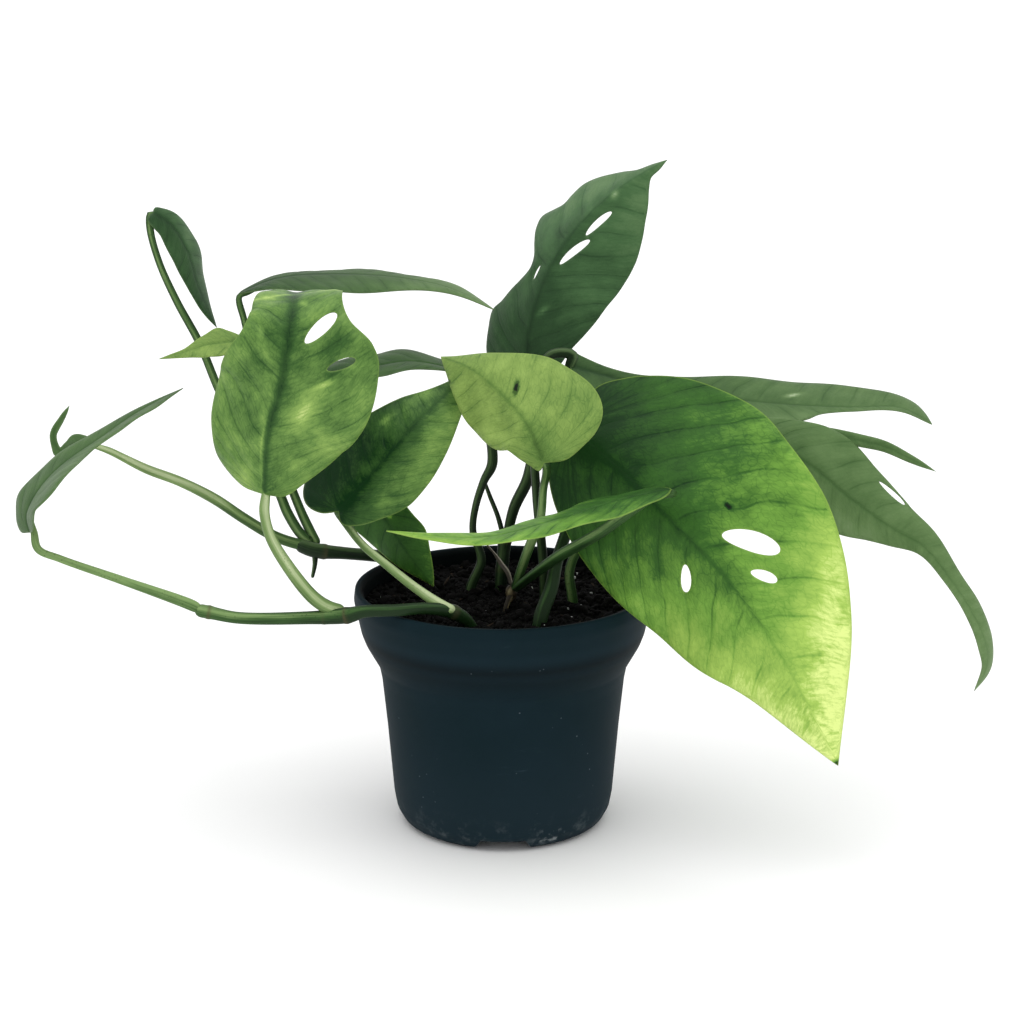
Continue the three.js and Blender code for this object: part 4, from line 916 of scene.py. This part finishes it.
def leafFinish(name, look):
    f = Finish(name, Specular_IOR_Level=0.14)
    along, side, number = f.split(f.attribute("bladeWay"))
    paint, clear, under = f.split(f.attribute("bladeTone"))
    reach = f.size(side)
    place = f.combine(along, side, under * 3)
    # side veins, wandering a little and fading in and out
    drift = f.noise(place, 0.55, 1)
    vein = number + (drift - 0.5) * 0.45
    folded = f.node("ShaderNodeMath", {"operation": "FRACT"}, {0: vein}) - 0.5
    onVein = f.size(folded) * 2
    strength = 0.25 + f.ease(f.noise(place, 0.6, 2), 0.34, 0.66) * 0.75
    sideVein = f.ease(onVein, 0.88, 1.0) * f.ease(reach, 0.05, 0.35) * strength
    shadeBeside = f.ease(onVein, 0.3, 1.0) * f.ease(reach, 0.1, 0.6) * strength
    # marks that follow the veins, the fine net between them, and mottle that follows nothing
    streak = f.noise(f.combine(vein * 2.2, reach * 0.55, under), 1.0, 4, 0.6)
    fleck = f.noise(f.combine(vein * 9, reach * 2.4, under), 1.0, 3, 0.65)
    bent = f.noise(place, 2.2, 2)
    mesh = f.cells(f.combine(vein * 4 + bent * 1.6, side * 5 + bent * 1.6, under * 7), 1.0)
    net = 1 - f.ease(mesh, 0.0, 0.07)
    mottle = f.noise(place, 0.8, 5, 0.62)
    nearRib = 1 - f.ease(reach, 0.0, 0.9)
    tone = (0.36 + paint + (mottle - 0.5) * (2 * look["mottle"]) + (streak - 0.5) * look["streaks"]
            + (fleck - 0.5) * look["flecks"] - sideVein * look["veins"] - shadeBeside * look["beside"]
            - net * (fleck * look["net"]) - nearRib * 0.08 + f.ease(paint, 0.3, 0.7) * (fleck - 0.5) * 0.7)
    upper = f.ramp(tone, look, leafStops)
    colour = f.mix(under, upper, f.mix(0.65, upper, srgb(*look["under"])))
    # dark marks: the leaf's own dark brown tip and dots, and painted shade inside slits
    darkMarkAndSlitShade = 1 - f.ease(paint, -0.95, -0.65)
    colour = f.mix(darkMarkAndSlitShade, colour, srgb(*darkMarkAndSlitShadeColour))
    rimLight = 1 - f.ease(clear, 0.1, 0.6)
    colour = f.mix(rimLight * 0.3, colour, srgb(*look["pale"]))
    roughness = look["gloss"] + (mottle - 0.5) * 0.2 + sideVein * 0.05 + under * 0.12
    grain = f.noise(place, 40, 2)
    height = fleck * 0.5 - sideVein * 0.45 - net * 0.12 + grain * 0.12
    return f.wear(colour, roughness, height, 0.4)


def stemFinish(name, look):
    f = Finish(name, Specular_IOR_Level=0.16)
    along, around, scar = f.split(f.attribute("stemWay"))
    shade, lit, _ = f.split(f.attribute("stemTone"))
    streak = f.noise(f.combine(along * 0.5, around * 14, 0), 1.0, 4, 0.6)
    blotch = f.noise(f.objectPlace(), 60, 4)
    # shade brings the shoot's own tone with painted shade along it, and lit the painted highlight strip
    tone = 0.26 + shade + lit * 0.5 + (streak - 0.5) * look["streaks"] + (blotch - 0.5) * 0.4
    colour = f.ramp(tone, look, stemStops)
    colour = f.mix(f.node("ShaderNodeClamp", {}, {0: scar * 0.75}), colour, srgb(*scarColour))
    specks = 1 - f.ease(f.cells(f.objectPlace(), 900, "F1"), 0.12, 0.3)
    colour = f.mix(specks * f.ease(blotch, 0.5, 0.62) * 0.5, colour, srgb(*look["deep"]))
    height = streak * 0.6 + blotch * 0.2 - scar * 0.5
    return f.wear(colour, 0.46 + (blotch - 0.5) * 0.3 + scar * 0.2, height, 0.3)


leafFinishes = {key: leafFinish("leaf_" + key, look) for key, look in leafLooks.items()}
stemFinishes = {key: stemFinish("stem_" + key, look) for key, look in stemLooks.items()}
print("leaf and stem finishes ready")

# underRib: where the petiole's end runs on along the rib's underside, as shares of the rib, and its
# size there as shares of its last radius; collar is the swelling below the blade
stalk = {"groove": 0.2, "vineGroove": 0.04, "tuck": 0.4, "collar": (1.6, 4, 0.1), "firstDrop": 0.75,
         "underRib": (0.0, 0.035, 0.08, 0.14), "sizes": (0.9, 0.7, 0.5, 0.3)}


def stalkPath(leaf, form):
    # the petiole, eased under the blade's base, runs out along the underside of the rib
    path = [list(p) for p in leaf["petiole"]]
    share = np.array(stalk["underRib"])
    rib = form.point(share, np.zeros(4))
    down = -form.normal(share, np.full(4, 0.01))
    radius = path.pop()[3]
    for k, size in enumerate(stalk["sizes"]):
        drop = (size if k else stalk["firstDrop"]) * radius + stalk["tuck"]
        path.append([*(rib[k] + down[k] * drop), radius * size])
    return path


def buildLeaf(name, leaf):
    points, faces, way, tone, form = bladeSkin(leaf)
    if "lobe" in leaf:
        lobe = {**leaf, **splitLobe, "rib": leaf["lobe"], "face": [leaf["face"][0], *leaf["face"][1:2] * 2]}
        points, faces, way, tone = joinSkins([(points, faces, way, tone), bladeSkin(lobe)[:4]])
    kind, slot = leaf["look"]
    meshPiece("blade_" + name, points, faces, leafFinishes[kind], ["leaf_" + name],
              {"bladeWay": way, "bladeTone": tone})
    kind, slot = leaf["stem"]
    fromEnd, width, size = stalk["collar"]
    collar = (len(leaf["petiole"]) - fromEnd, width, size, 0)
    points, faces, way, tone = tubeSkin(stalkPath(leaf, form), stalk["groove"], [collar], leaf["shade"],
                                        leaf["lit"])
    meshPiece("stalk_" + name, points, faces, stemFinishes[kind], ["petiole_" + name],
              {"stemWay": way, "stemTone": tone})


for name, leaf in leaves.items():
    buildLeaf(name, {**plainLeaf, **leaf})
print("leaves built:", len(leaves))

for name, (kind, slot, paths, rings, shade, lit) in vines.items():
    skins = [tubeSkin(path, stalk["vineGroove"], rings if i == 0 else (), shade, lit)
             for i, path in enumerate(paths)]
    points, faces, way, tone = joinSkins(skins)
    meshPiece("runner_" + name, points, faces, stemFinishes[kind], ["vine_" + name],
              {"stemWay": way, "stemTone": tone})
print("stems built")

# the dry sheath: a shoot pressed flat and crumpled along its length
sheath = {
    "path": [[-6, 4, 102, 0.4], [-2, 1, 98, 0.6], [1, -1.5, 94, 0.85], [3, -4, 89.5, 0.8]],
    "pressed": [1.0, 0.45, 1.0], "crumple": 0.25, "crumplePitch": [0.9, 0.4, 1.1], "steps": 120,
    "look": {"deep": (34, 31, 26), "mid": (84, 78, 68), "pale": (150, 144, 130), "streaks": 1.1},
}


def sheathSkin():
    points, faces, way, tone = tubeSkin(sheath["path"])
    middle = evenly(smoothCurve([p[:3] for p in sheath["path"]]), sheath["steps"])
    pressed = []
    for p in points:
        nearest = middle[np.argmin(np.sum((middle - p) ** 2, axis=1))]
        crumple = sheath["crumple"] * np.sin(p * sheath["crumplePitch"])
        pressed.append(nearest + ((p - nearest) * sheath["pressed"] + crumple))
    return np.array(pressed), faces, way, tone


points, faces, way, tone = sheathSkin()
meshPiece("sheathDry", points, faces, stemFinish("sheathDry", sheath["look"]), ["sheath_dry"],
          {"stemWay": way, "stemTone": tone})
print("dry sheath laid")


# the pot: the frame's outline with its corners rounded, turned finely, then notched and drilled.
# A notch step has its start, end, height and share of the width. The band under the lip is painted
# lighter, a painted light over the shade there, and the ledge below it darker, a painted shade; these
# bands and innerWall are where the finish changes, in metres, and chalk is the middle of the pale mark
# at the foot.
pot = {
    "outline": [[0, 0], [12, 0], [12.6, 2.4], [29.8, 2.4], [30.6, 0], [34, 0], [36.8, 1.6], [39, 5.6], [40, 11],
                [42.2, 37], [44, 54.5], [45, 59.5], [49.8, 68], [51.3, 72], [53.2, 81], [53.6, 82.6],
                [53.8, 84], [53.3, 88], [51.5, 88], [50.3, 86.4], [49.7, 72.6], [48.3, 68.8], [43.5, 60.2],
                [42.4, 55], [40.6, 37], [38.5, 12], [37.2, 8.8], [34.6, 6.4], [30, 5.4], [27, 4.2], [0, 4.2]],
    "round": 0.9, "segments": 216, "sharp": 40,
    "notches": 3, "notchShape": [[-11, -1], [11, -1], [10, 1], [8, 4.4], [-8, 4.4], [-10, 1]],
    "notchSteps": [(20, 33, 2, 0.97), (31, 44, 4.4, 1)], "drains": 6, "drainRadius": 4, "drainCircle": 22,
    "drainSides": 40, "drainDepth": 6,
    "underLipPaintedLight": (0.066, 0.07, 0.073, 0.079), "ledgePaintedShade": (0.0575, 0.061, 0.064, 0.068),
    "innerWall": (0.0508, 0.0528), "chalk": (0.017, -0.034, 0.004),
}
potColours = {
    "dark": (8, 28, 32), "cloudy": (22, 38, 46), "foot": (38, 52, 60), "underLipPaintedLight": (36, 60, 72),
    "ledgePaintedShade": (4, 14, 20), "innerWallDark": (5, 8, 7), "rubbed": (60, 76, 86), "dust": (110, 122, 130),
    "chalk": (150, 158, 160),
}


def roundedOutline(outline, room, bends=5):
    # each inner corner becomes a short bend of a few points
    p = np.array(outline, float)
    bent = [p[0]]
    for a, b, c in zip(p[:-2], p[1:-1], p[2:]):
        into, out = a - b, c - b
        reach = min(room, 0.42 * np.linalg.norm(into), 0.42 * np.linalg.norm(out))
        start, end = b + unit(into) * reach, b + unit(out) * reach
        for t in np.linspace(0, 1, bends):
            bent.append((1 - t) ** 2 * start + 2 * t * (1 - t) * b + t * t * end)
    bent.append(p[-1])
    return np.array(bent)


def ringFaces(sides, rings, downwards=False):
    # rings of points between a first and a last point on the axis, facing outwards where they
    # start below; downwards is for rings that start at the top
    last = 1 + (rings - 1) * sides
    faces = []
    for k in range(sides):
        n = (k + 1) % sides
        faces.append((0, 1 + n, 1 + k))
        faces += [(a + k, a + n, a + sides + n, a + sides + k) for a in range(1, last, sides)]
        faces.append((last + k, last + n, last + sides))
    return [(f[0], *f[:0:-1]) for f in faces] if downwards else faces


def ringPoints(radius, z, angles):
    return np.column_stack([radius * np.cos(angles), radius * np.sin(angles), np.broadcast_to(z, len(angles))])


def prism(name, outline, low, high, place):
    # an outline in X and Z carried from -low to -high along Y, then placed by a matrix
    count = len(outline)
    points = [(x, -low, z) for x, z in outline] + [(x, -high, z) for x, z in outline]
    faces = [tuple(range(count))[::-1], tuple(range(count, 2 * count))]
    faces += [(i, (i + 1) % count, (i + 1) % count + count, i + count) for i in range(count)]
    mesh = bpy.data.meshes.new(name)
    mesh.from_pydata([(Vector(p) * mm) for p in points], [], faces)
    mesh.transform(place)
    build = bmesh.new()
    build.from_mesh(mesh)
    bmesh.ops.recalc_face_normals(build, faces=build.faces)
    build.to_mesh(mesh)
    build.free()
    return addObject(name, mesh)


def cutAll(mesh, cutters):
    # the mesh with every cutter taken out of it, as a plain mesh
    holder = addObject("beingCut", mesh)
    for cutter in cutters:
        step = holder.modifiers.new("cut", "BOOLEAN")
        step.operation, step.solver, step.object = "DIFFERENCE", "EXACT", cutter
    result = plainMesh(holder)
    for cutter in cutters:
        bpy.data.objects.remove(cutter)
    return result


def potFinish():
    f = Finish("potPlastic", Specular_IOR_Level=0.05)
    hue = {key: srgb(*colour) for key, colour in potColours.items()}
    place = f.objectPlace()
    x, y, z = f.split(place)
    cloud = f.noise(place, 28, 5, 0.6)
    grain = f.noise(place, 900, 2)
    # rubbed stretches, dust specks, the chalky mark, and splashes round the foot
    scuff = f.noise(f.stretch(place, (90, 90, 420)), 1, 4, 0.65)
    rubbed = f.ease(scuff, 0.62, 0.78) * f.ease(f.noise(place, 40, 2), 0.45, 0.65)
    dust = 1 - f.ease(f.cells(place, 300, "F1"), 0.04, 0.12)
    dust = dust * f.ease(f.noise(place, 55, 2), 0.6, 0.66)
    near = f.distance(place, pot["chalk"])
    chalk = (1 - f.ease(near, 0.001, 0.008)) * f.ease(f.noise(place, 300, 4, 0.6), 0.5, 0.66)
    foot = (1 - f.ease(z, 0.0, 0.016)) * f.ease(f.noise(place, 160, 4, 0.7), 0.5, 0.75)
    base = f.mix(cloud, hue["dark"], hue["cloudy"])
    base = f.mix((1 - f.ease(z, 0.0, 0.05)) * 0.35, base, hue["foot"])
    # painted light: the band under the lip is lifted lighter over the shade there
    base = f.mix(f.band(z, *pot["underLipPaintedLight"]) * 0.4, base, hue["underLipPaintedLight"])
    # painted shade: the ledge below the lip band is darkened
    base = f.mix(f.band(z, *pot["ledgePaintedShade"]) * 0.16, base, hue["ledgePaintedShade"])
    fromAxis = f.distance(f.combine(x, y, 0), (0, 0, 0))
    # darker near the axis high up: the inner wall above the mix and, in part, the wall under the lip
    innerWallDark = (1 - f.ease(fromAxis, *pot["innerWall"])) * f.ease(z, 0.06, 0.075)
    base = f.mix(innerWallDark * 0.9, base, hue["innerWallDark"])
    worn = f.mix(rubbed * 0.2, base, hue["rubbed"])
    dusty = f.mix(dust * 0.4, worn, hue["dust"])
    colour = f.mix(chalk * 0.65 + foot * 0.22, dusty, hue["chalk"])
    roughness = 0.62 + (cloud - 0.5) * 0.25 + rubbed * 0.1 + (chalk + foot) * 0.2
    return f.wear(colour, roughness, cloud * 0.6 + grain * 0.12 + rubbed * 0.2, 0.16)


def potCutters():
    full = 2 * math.pi
    cutters = []
    for i in range(pot["notches"]):
        place = Matrix.Rotation(full * i / pot["notches"], 4, "Z")
        for start, end, height, width in pot["notchSteps"]:
            shape = [(px * width, min(pz, height)) for px, pz in pot["notchShape"]]
            cutters.append(prism("notch", shape, start, end, place))
    around = np.linspace(0, full, pot["drainSides"], endpoint=False)
    shape = [(pot["drainRadius"] * math.cos(a), pot["drainRadius"] * math.sin(a)) for a in around]
    upright = Matrix.Translation((0, pot["drainCircle"] * mm, 0)) @ Matrix.Rotation(math.pi / 2, 4, "X")
    for i in range(pot["drains"]):
        place = Matrix.Rotation(full * (i + 0.5) / pot["drains"], 4, "Z") @ upright
        cutters.append(prism("drain", shape, -pot["drainDepth"], pot["drainDepth"], place))
    return cutters


profile = roundedOutline(pot["outline"], pot["round"])
angles = np.linspace(0, 2 * math.pi, pot["segments"], endpoint=False)
rings = [ringPoints(radius, z, angles) for radius, z in profile[1:-1]]
points = np.vstack([[0, 0, profile[0][1]], *rings, [0, 0, profile[-1][1]]])
blank = bpy.data.meshes.new("potBlank")
blank.from_pydata([tuple(p) for p in points * mm], [], ringFaces(len(angles), len(rings)))
potMesh = cutAll(blank, potCutters())
potMesh.shade_smooth()
potMesh.set_sharp_from_angle(angle=math.radians(pot["sharp"]))
finishPiece(addObject("nurseryPot", potMesh), potFinish(), ["pot"])
print("pot turned:", len(potMesh.polygons), "faces")


# potting mix: a crumbly top with small mounds at the stems, over the frame's root ball. lumps are
# ripples of the top: height, pitch and seed
soil = {
    "top": 81.4, "radius": 49.4, "rings": 74, "sides": 220,
    "inner": [[49.2, 72.8], [47.8, 69.1], [43, 60.5], [41.9, 55.3], [40.1, 37.2], [38, 12.3], [36.7, 9.2],
              [34.2, 6.9], [29.9, 5.9], [26.9, 4.7]], "bottom": 4.7,
    "mounds": [(13, -27), (3, -4), (-1, 16), (-12, 12), (15, 2), (25, -3), (-11, -31), (-27, 28)],
    "mound": 1.3, "moundSpread": 30, "dish": 0.0004, "lumps": [(0.55, 0.9, 3), (0.35, 2.3, 8)], "sink": 0.4,
}


def soilHeight(x, y):
    height = (soil["top"] + 0.7 * np.sin(x / 3.1 + 1.3 * np.cos(y / 4.3)) + 0.5 * np.cos(y / 2.7 + x / 7)
              + soil["dish"] * (x * x + y * y))
    height = height + sum(soil["mound"] * np.exp(-((x - a) ** 2 + (y - b) ** 2) / soil["moundSpread"])
                          for a, b in soil["mounds"])
    for size, pitch, seed in soil["lumps"]:
        height = height + size * ripple(x * pitch, y * pitch, seed)
    return height - soil["sink"]


def soilFinish(name, dark, pale):
    f = Finish(name, Specular_IOR_Level=0.06)
    place = f.objectPlace()
    lump = f.noise(place, 260, 5, 0.65)
    fibre = f.noise(f.stretch(place, (900, 300, 500)), 1, 4, 0.6)
    colour = f.ramp(lump * 0.7 + fibre * 0.3, {"dark": dark, "pale": pale}, {"dark": 0.3, "pale": 0.62})
    return f.wear(colour, 0.82 + (lump - 0.5) * 0.5, lump * 0.7 + fibre * 0.5, 0.8, 0.0008)


angles = np.linspace(0, 2 * math.pi, soil["sides"], endpoint=False)
rings = []
for radius in np.linspace(0, 1, soil["rings"] + 1)[1:] * soil["radius"]:
    rings.append(ringPoints(radius, soilHeight(radius * np.cos(angles), radius * np.sin(angles)), angles))
rings += [ringPoints(radius, z, angles) for radius, z in soil["inner"]]
centre = np.zeros(1)
points = np.vstack([[0, 0, soilHeight(centre, centre)[0]], *rings, [0, 0, soil["bottom"]]])
mixFinish = soilFinish("pottingMix", (1, 2, 1), (7, 7, 6))
soilPiece = meshPiece("pottingMix", points, ringFaces(len(angles), len(rings), downwards=True), mixFinish,
                      ["soil"])
print("potting mix filled")


# loose bits on top of the mix, scattered by geometry nodes: how many, the seed, the least and the
# most size in metres, how far they tilt, how far from the axis they lie, how uneven they are, and
# how often their ball is divided
bitInputs = {"Ground": "Geometry", "Per Square Metre": "Float", "Seed": "Int", "Least Size": "Vector",
             "Most Size": "Vector", "Most Tilt": "Float", "Most Reach": "Float", "Lump": "Float",
             "Sides": "Int", "Finish": "Material"}
bits = {
    "crumbs": {"Per Square Metre": 210000.0, "Seed": 4, "Least Size": (0.0005, 0.0004, 0.0003),
               "Most Size": (0.0017, 0.0015, 0.0012), "Most Tilt": 1.2, "Most Reach": 0.049,
               "Lump": 0.7, "Sides": 1},
    "lumps": {"Per Square Metre": 26000.0, "Seed": 11, "Least Size": (0.0012, 0.001, 0.0008),
              "Most Size": (0.0034, 0.0028, 0.002), "Most Tilt": 0.8, "Most Reach": 0.0475,
              "Lump": 0.9, "Sides": 2},
    "bark": {"Per Square Metre": 6000.0, "Seed": 7, "Least Size": (0.0015, 0.0003, 0.0002),
             "Most Size": (0.0042, 0.0008, 0.0005), "Most Tilt": 0.35, "Most Reach": 0.045,
             "Lump": 0.6, "Sides": 2},
    "perlite": {"Per Square Metre": 4200.0, "Seed": 15, "Least Size": (0.0004, 0.0004, 0.0003),
                "Most Size": (0.0009, 0.0009, 0.0007), "Most Tilt": 3.0, "Most Reach": 0.048,
                "Lump": 0.8, "Sides": 2},
}
bitFloor = 0.079  # bits lie only where the mix is higher than this, in metres


def scatterTree():
    tree = bpy.data.node_groups.new("looseBits", "GeometryNodeTree")
    for name, kind in bitInputs.items():
        tree.interface.new_socket(name, in_out="INPUT", socket_type="NodeSocket" + kind)
    tree.interface.new_socket("Bits", in_out="OUTPUT", socket_type="NodeSocketGeometry")

    def add(kind, links=None, **settings):
        made = tree.nodes.new(kind)
        for key, value in settings.items():
            setattr(made, key, value)
        for key, value in (links or {}).items():
            if isinstance(value, bpy.types.NodeSocket):
                tree.links.new(value, made.inputs[key])
            else:
                made.inputs[key].default_value = value
        return made

    given = tree.nodes.new("NodeGroupInput").outputs
    height = add("ShaderNodeSeparateXYZ", {0: add("GeometryNodeInputPosition").outputs[0]})
    level = add("ShaderNodeCombineXYZ", {0: height.outputs[0], 1: height.outputs[1]})
    reach = add("ShaderNodeVectorMath", {0: level.outputs[0]}, operation="LENGTH")
    inside = add("ShaderNodeMath", {0: reach.outputs[1], 1: given["Most Reach"]}, operation="LESS_THAN")
    above = add("ShaderNodeMath", {0: height.outputs[2], 1: bitFloor}, operation="GREATER_THAN")
    upward = add("ShaderNodeMath", {0: inside.outputs[0], 1: above.outputs[0]}, operation="MULTIPLY")
    spots = add("GeometryNodeDistributePointsOnFaces",
                {"Mesh": given["Ground"], "Selection": upward.outputs[0], "Density": given["Per Square Metre"],
                 "Seed": given["Seed"]})
    ball = add("GeometryNodeMeshIcoSphere", {"Radius": 1.0, "Subdivisions": given["Sides"]})
    rough = add("ShaderNodeTexNoise", {"Scale": 1.6, "Detail": 2.0})
    centred = add("ShaderNodeVectorMath", {0: rough.outputs["Color"], 1: (0.5, 0.5, 0.5)}, operation="SUBTRACT")
    pushed = add("ShaderNodeVectorMath", {0: centred.outputs[0], "Scale": given["Lump"]}, operation="SCALE")
    lump = add("GeometryNodeSetPosition", {"Geometry": ball.outputs[0], "Offset": pushed.outputs[0]})
    smooth = add("GeometryNodeSetShadeSmooth", {"Geometry": lump.outputs[0]})
    size = add("FunctionNodeRandomValue", {0: given["Least Size"], 1: given["Most Size"], "Seed": 3},
               data_type="FLOAT_VECTOR")
    tilt = add("ShaderNodeCombineXYZ", {0: given["Most Tilt"], 1: given["Most Tilt"], 2: 3.14})
    back = add("ShaderNodeVectorMath", {0: tilt.outputs[0], "Scale": -1.0}, operation="SCALE")
    turn = add("FunctionNodeRandomValue", {0: back.outputs[0], 1: tilt.outputs[0], "Seed": 5},
               data_type="FLOAT_VECTOR")
    placed = add("GeometryNodeInstanceOnPoints",
                 {"Points": spots.outputs[0], "Instance": smooth.outputs[0], "Rotation": turn.outputs[0],
                  "Scale": size.outputs[0]})
    real = add("GeometryNodeRealizeInstances", {0: placed.outputs[0]})
    painted = add("GeometryNodeSetMaterial", {"Geometry": real.outputs[0], "Material": given["Finish"]})
    end = tree.nodes.new("NodeGroupOutput")
    tree.links.new(painted.outputs[0], end.inputs[0])
    return tree


looseBits = scatterTree()


def scatter(name, ground, settings, finish):
    holder = addObject("scattering", ground.data)
    step = holder.modifiers.new("bits", "NODES")
    step.node_group = looseBits
    keys = {item.name: item.identifier for item in looseBits.interface.items_tree if item.in_out == "INPUT"}
    for key, value in {**settings, "Finish": finish}.items():
        step[keys[key]] = value
    piece = finishPiece(addObject(name, plainMesh(holder)), finish, [])
    print(name, "scattered:", len(piece.data.polygons), "faces")


lumpFinish = soilFinish("mixLumps", (2, 2, 2), (12, 11, 10))
barkFinish = soilFinish("barkBits", (12, 10, 8), (52, 42, 32))
perliteFinish = soilFinish("perlite", (96, 98, 96), (190, 192, 190))
for name, finish in (("crumbs", lumpFinish), ("lumps", lumpFinish), ("bark", barkFinish),
                     ("perlite", perliteFinish)):
    scatter("mix_" + name, soilPiece, bits[name], finish)


# stage: a pale floor and soft studio light
stage = {"floorSize": 14.0, "floorColour": (0.97, 0.97, 0.97), "sky": 0.92,
         "sun": {"from": (-0.02, -0.1, 1.0), "spread": 60, "power": 1.15}}
bpy.ops.mesh.primitive_plane_add(size=stage["floorSize"])
floor = bpy.context.object
floor.name = "floor"
floorFinish = Finish("floorPaper", Base_Color=(*stage["floorColour"], 1), Roughness=0.9, Specular_IOR_Level=0.1)
floor.data.materials.append(floorFinish.material)
softbox = bpy.data.lights.new("softbox", "SUN")
softbox.angle, softbox.energy = math.radians(stage["sun"]["spread"]), stage["sun"]["power"]
light = addObject("softbox", softbox)
light.rotation_euler = (-Vector(stage["sun"]["from"])).to_track_quat("-Z", "Y").to_euler()
world = bpy.data.worlds.new("studio")
world.use_nodes = True
world.node_tree.nodes["Background"].inputs["Color"].default_value = (1, 1, 1, 1)
world.node_tree.nodes["Background"].inputs["Strength"].default_value = stage["sky"]
bpy.context.scene.world = world
bpy.context.scene.view_settings.view_transform = "Standard"
print("stage set")
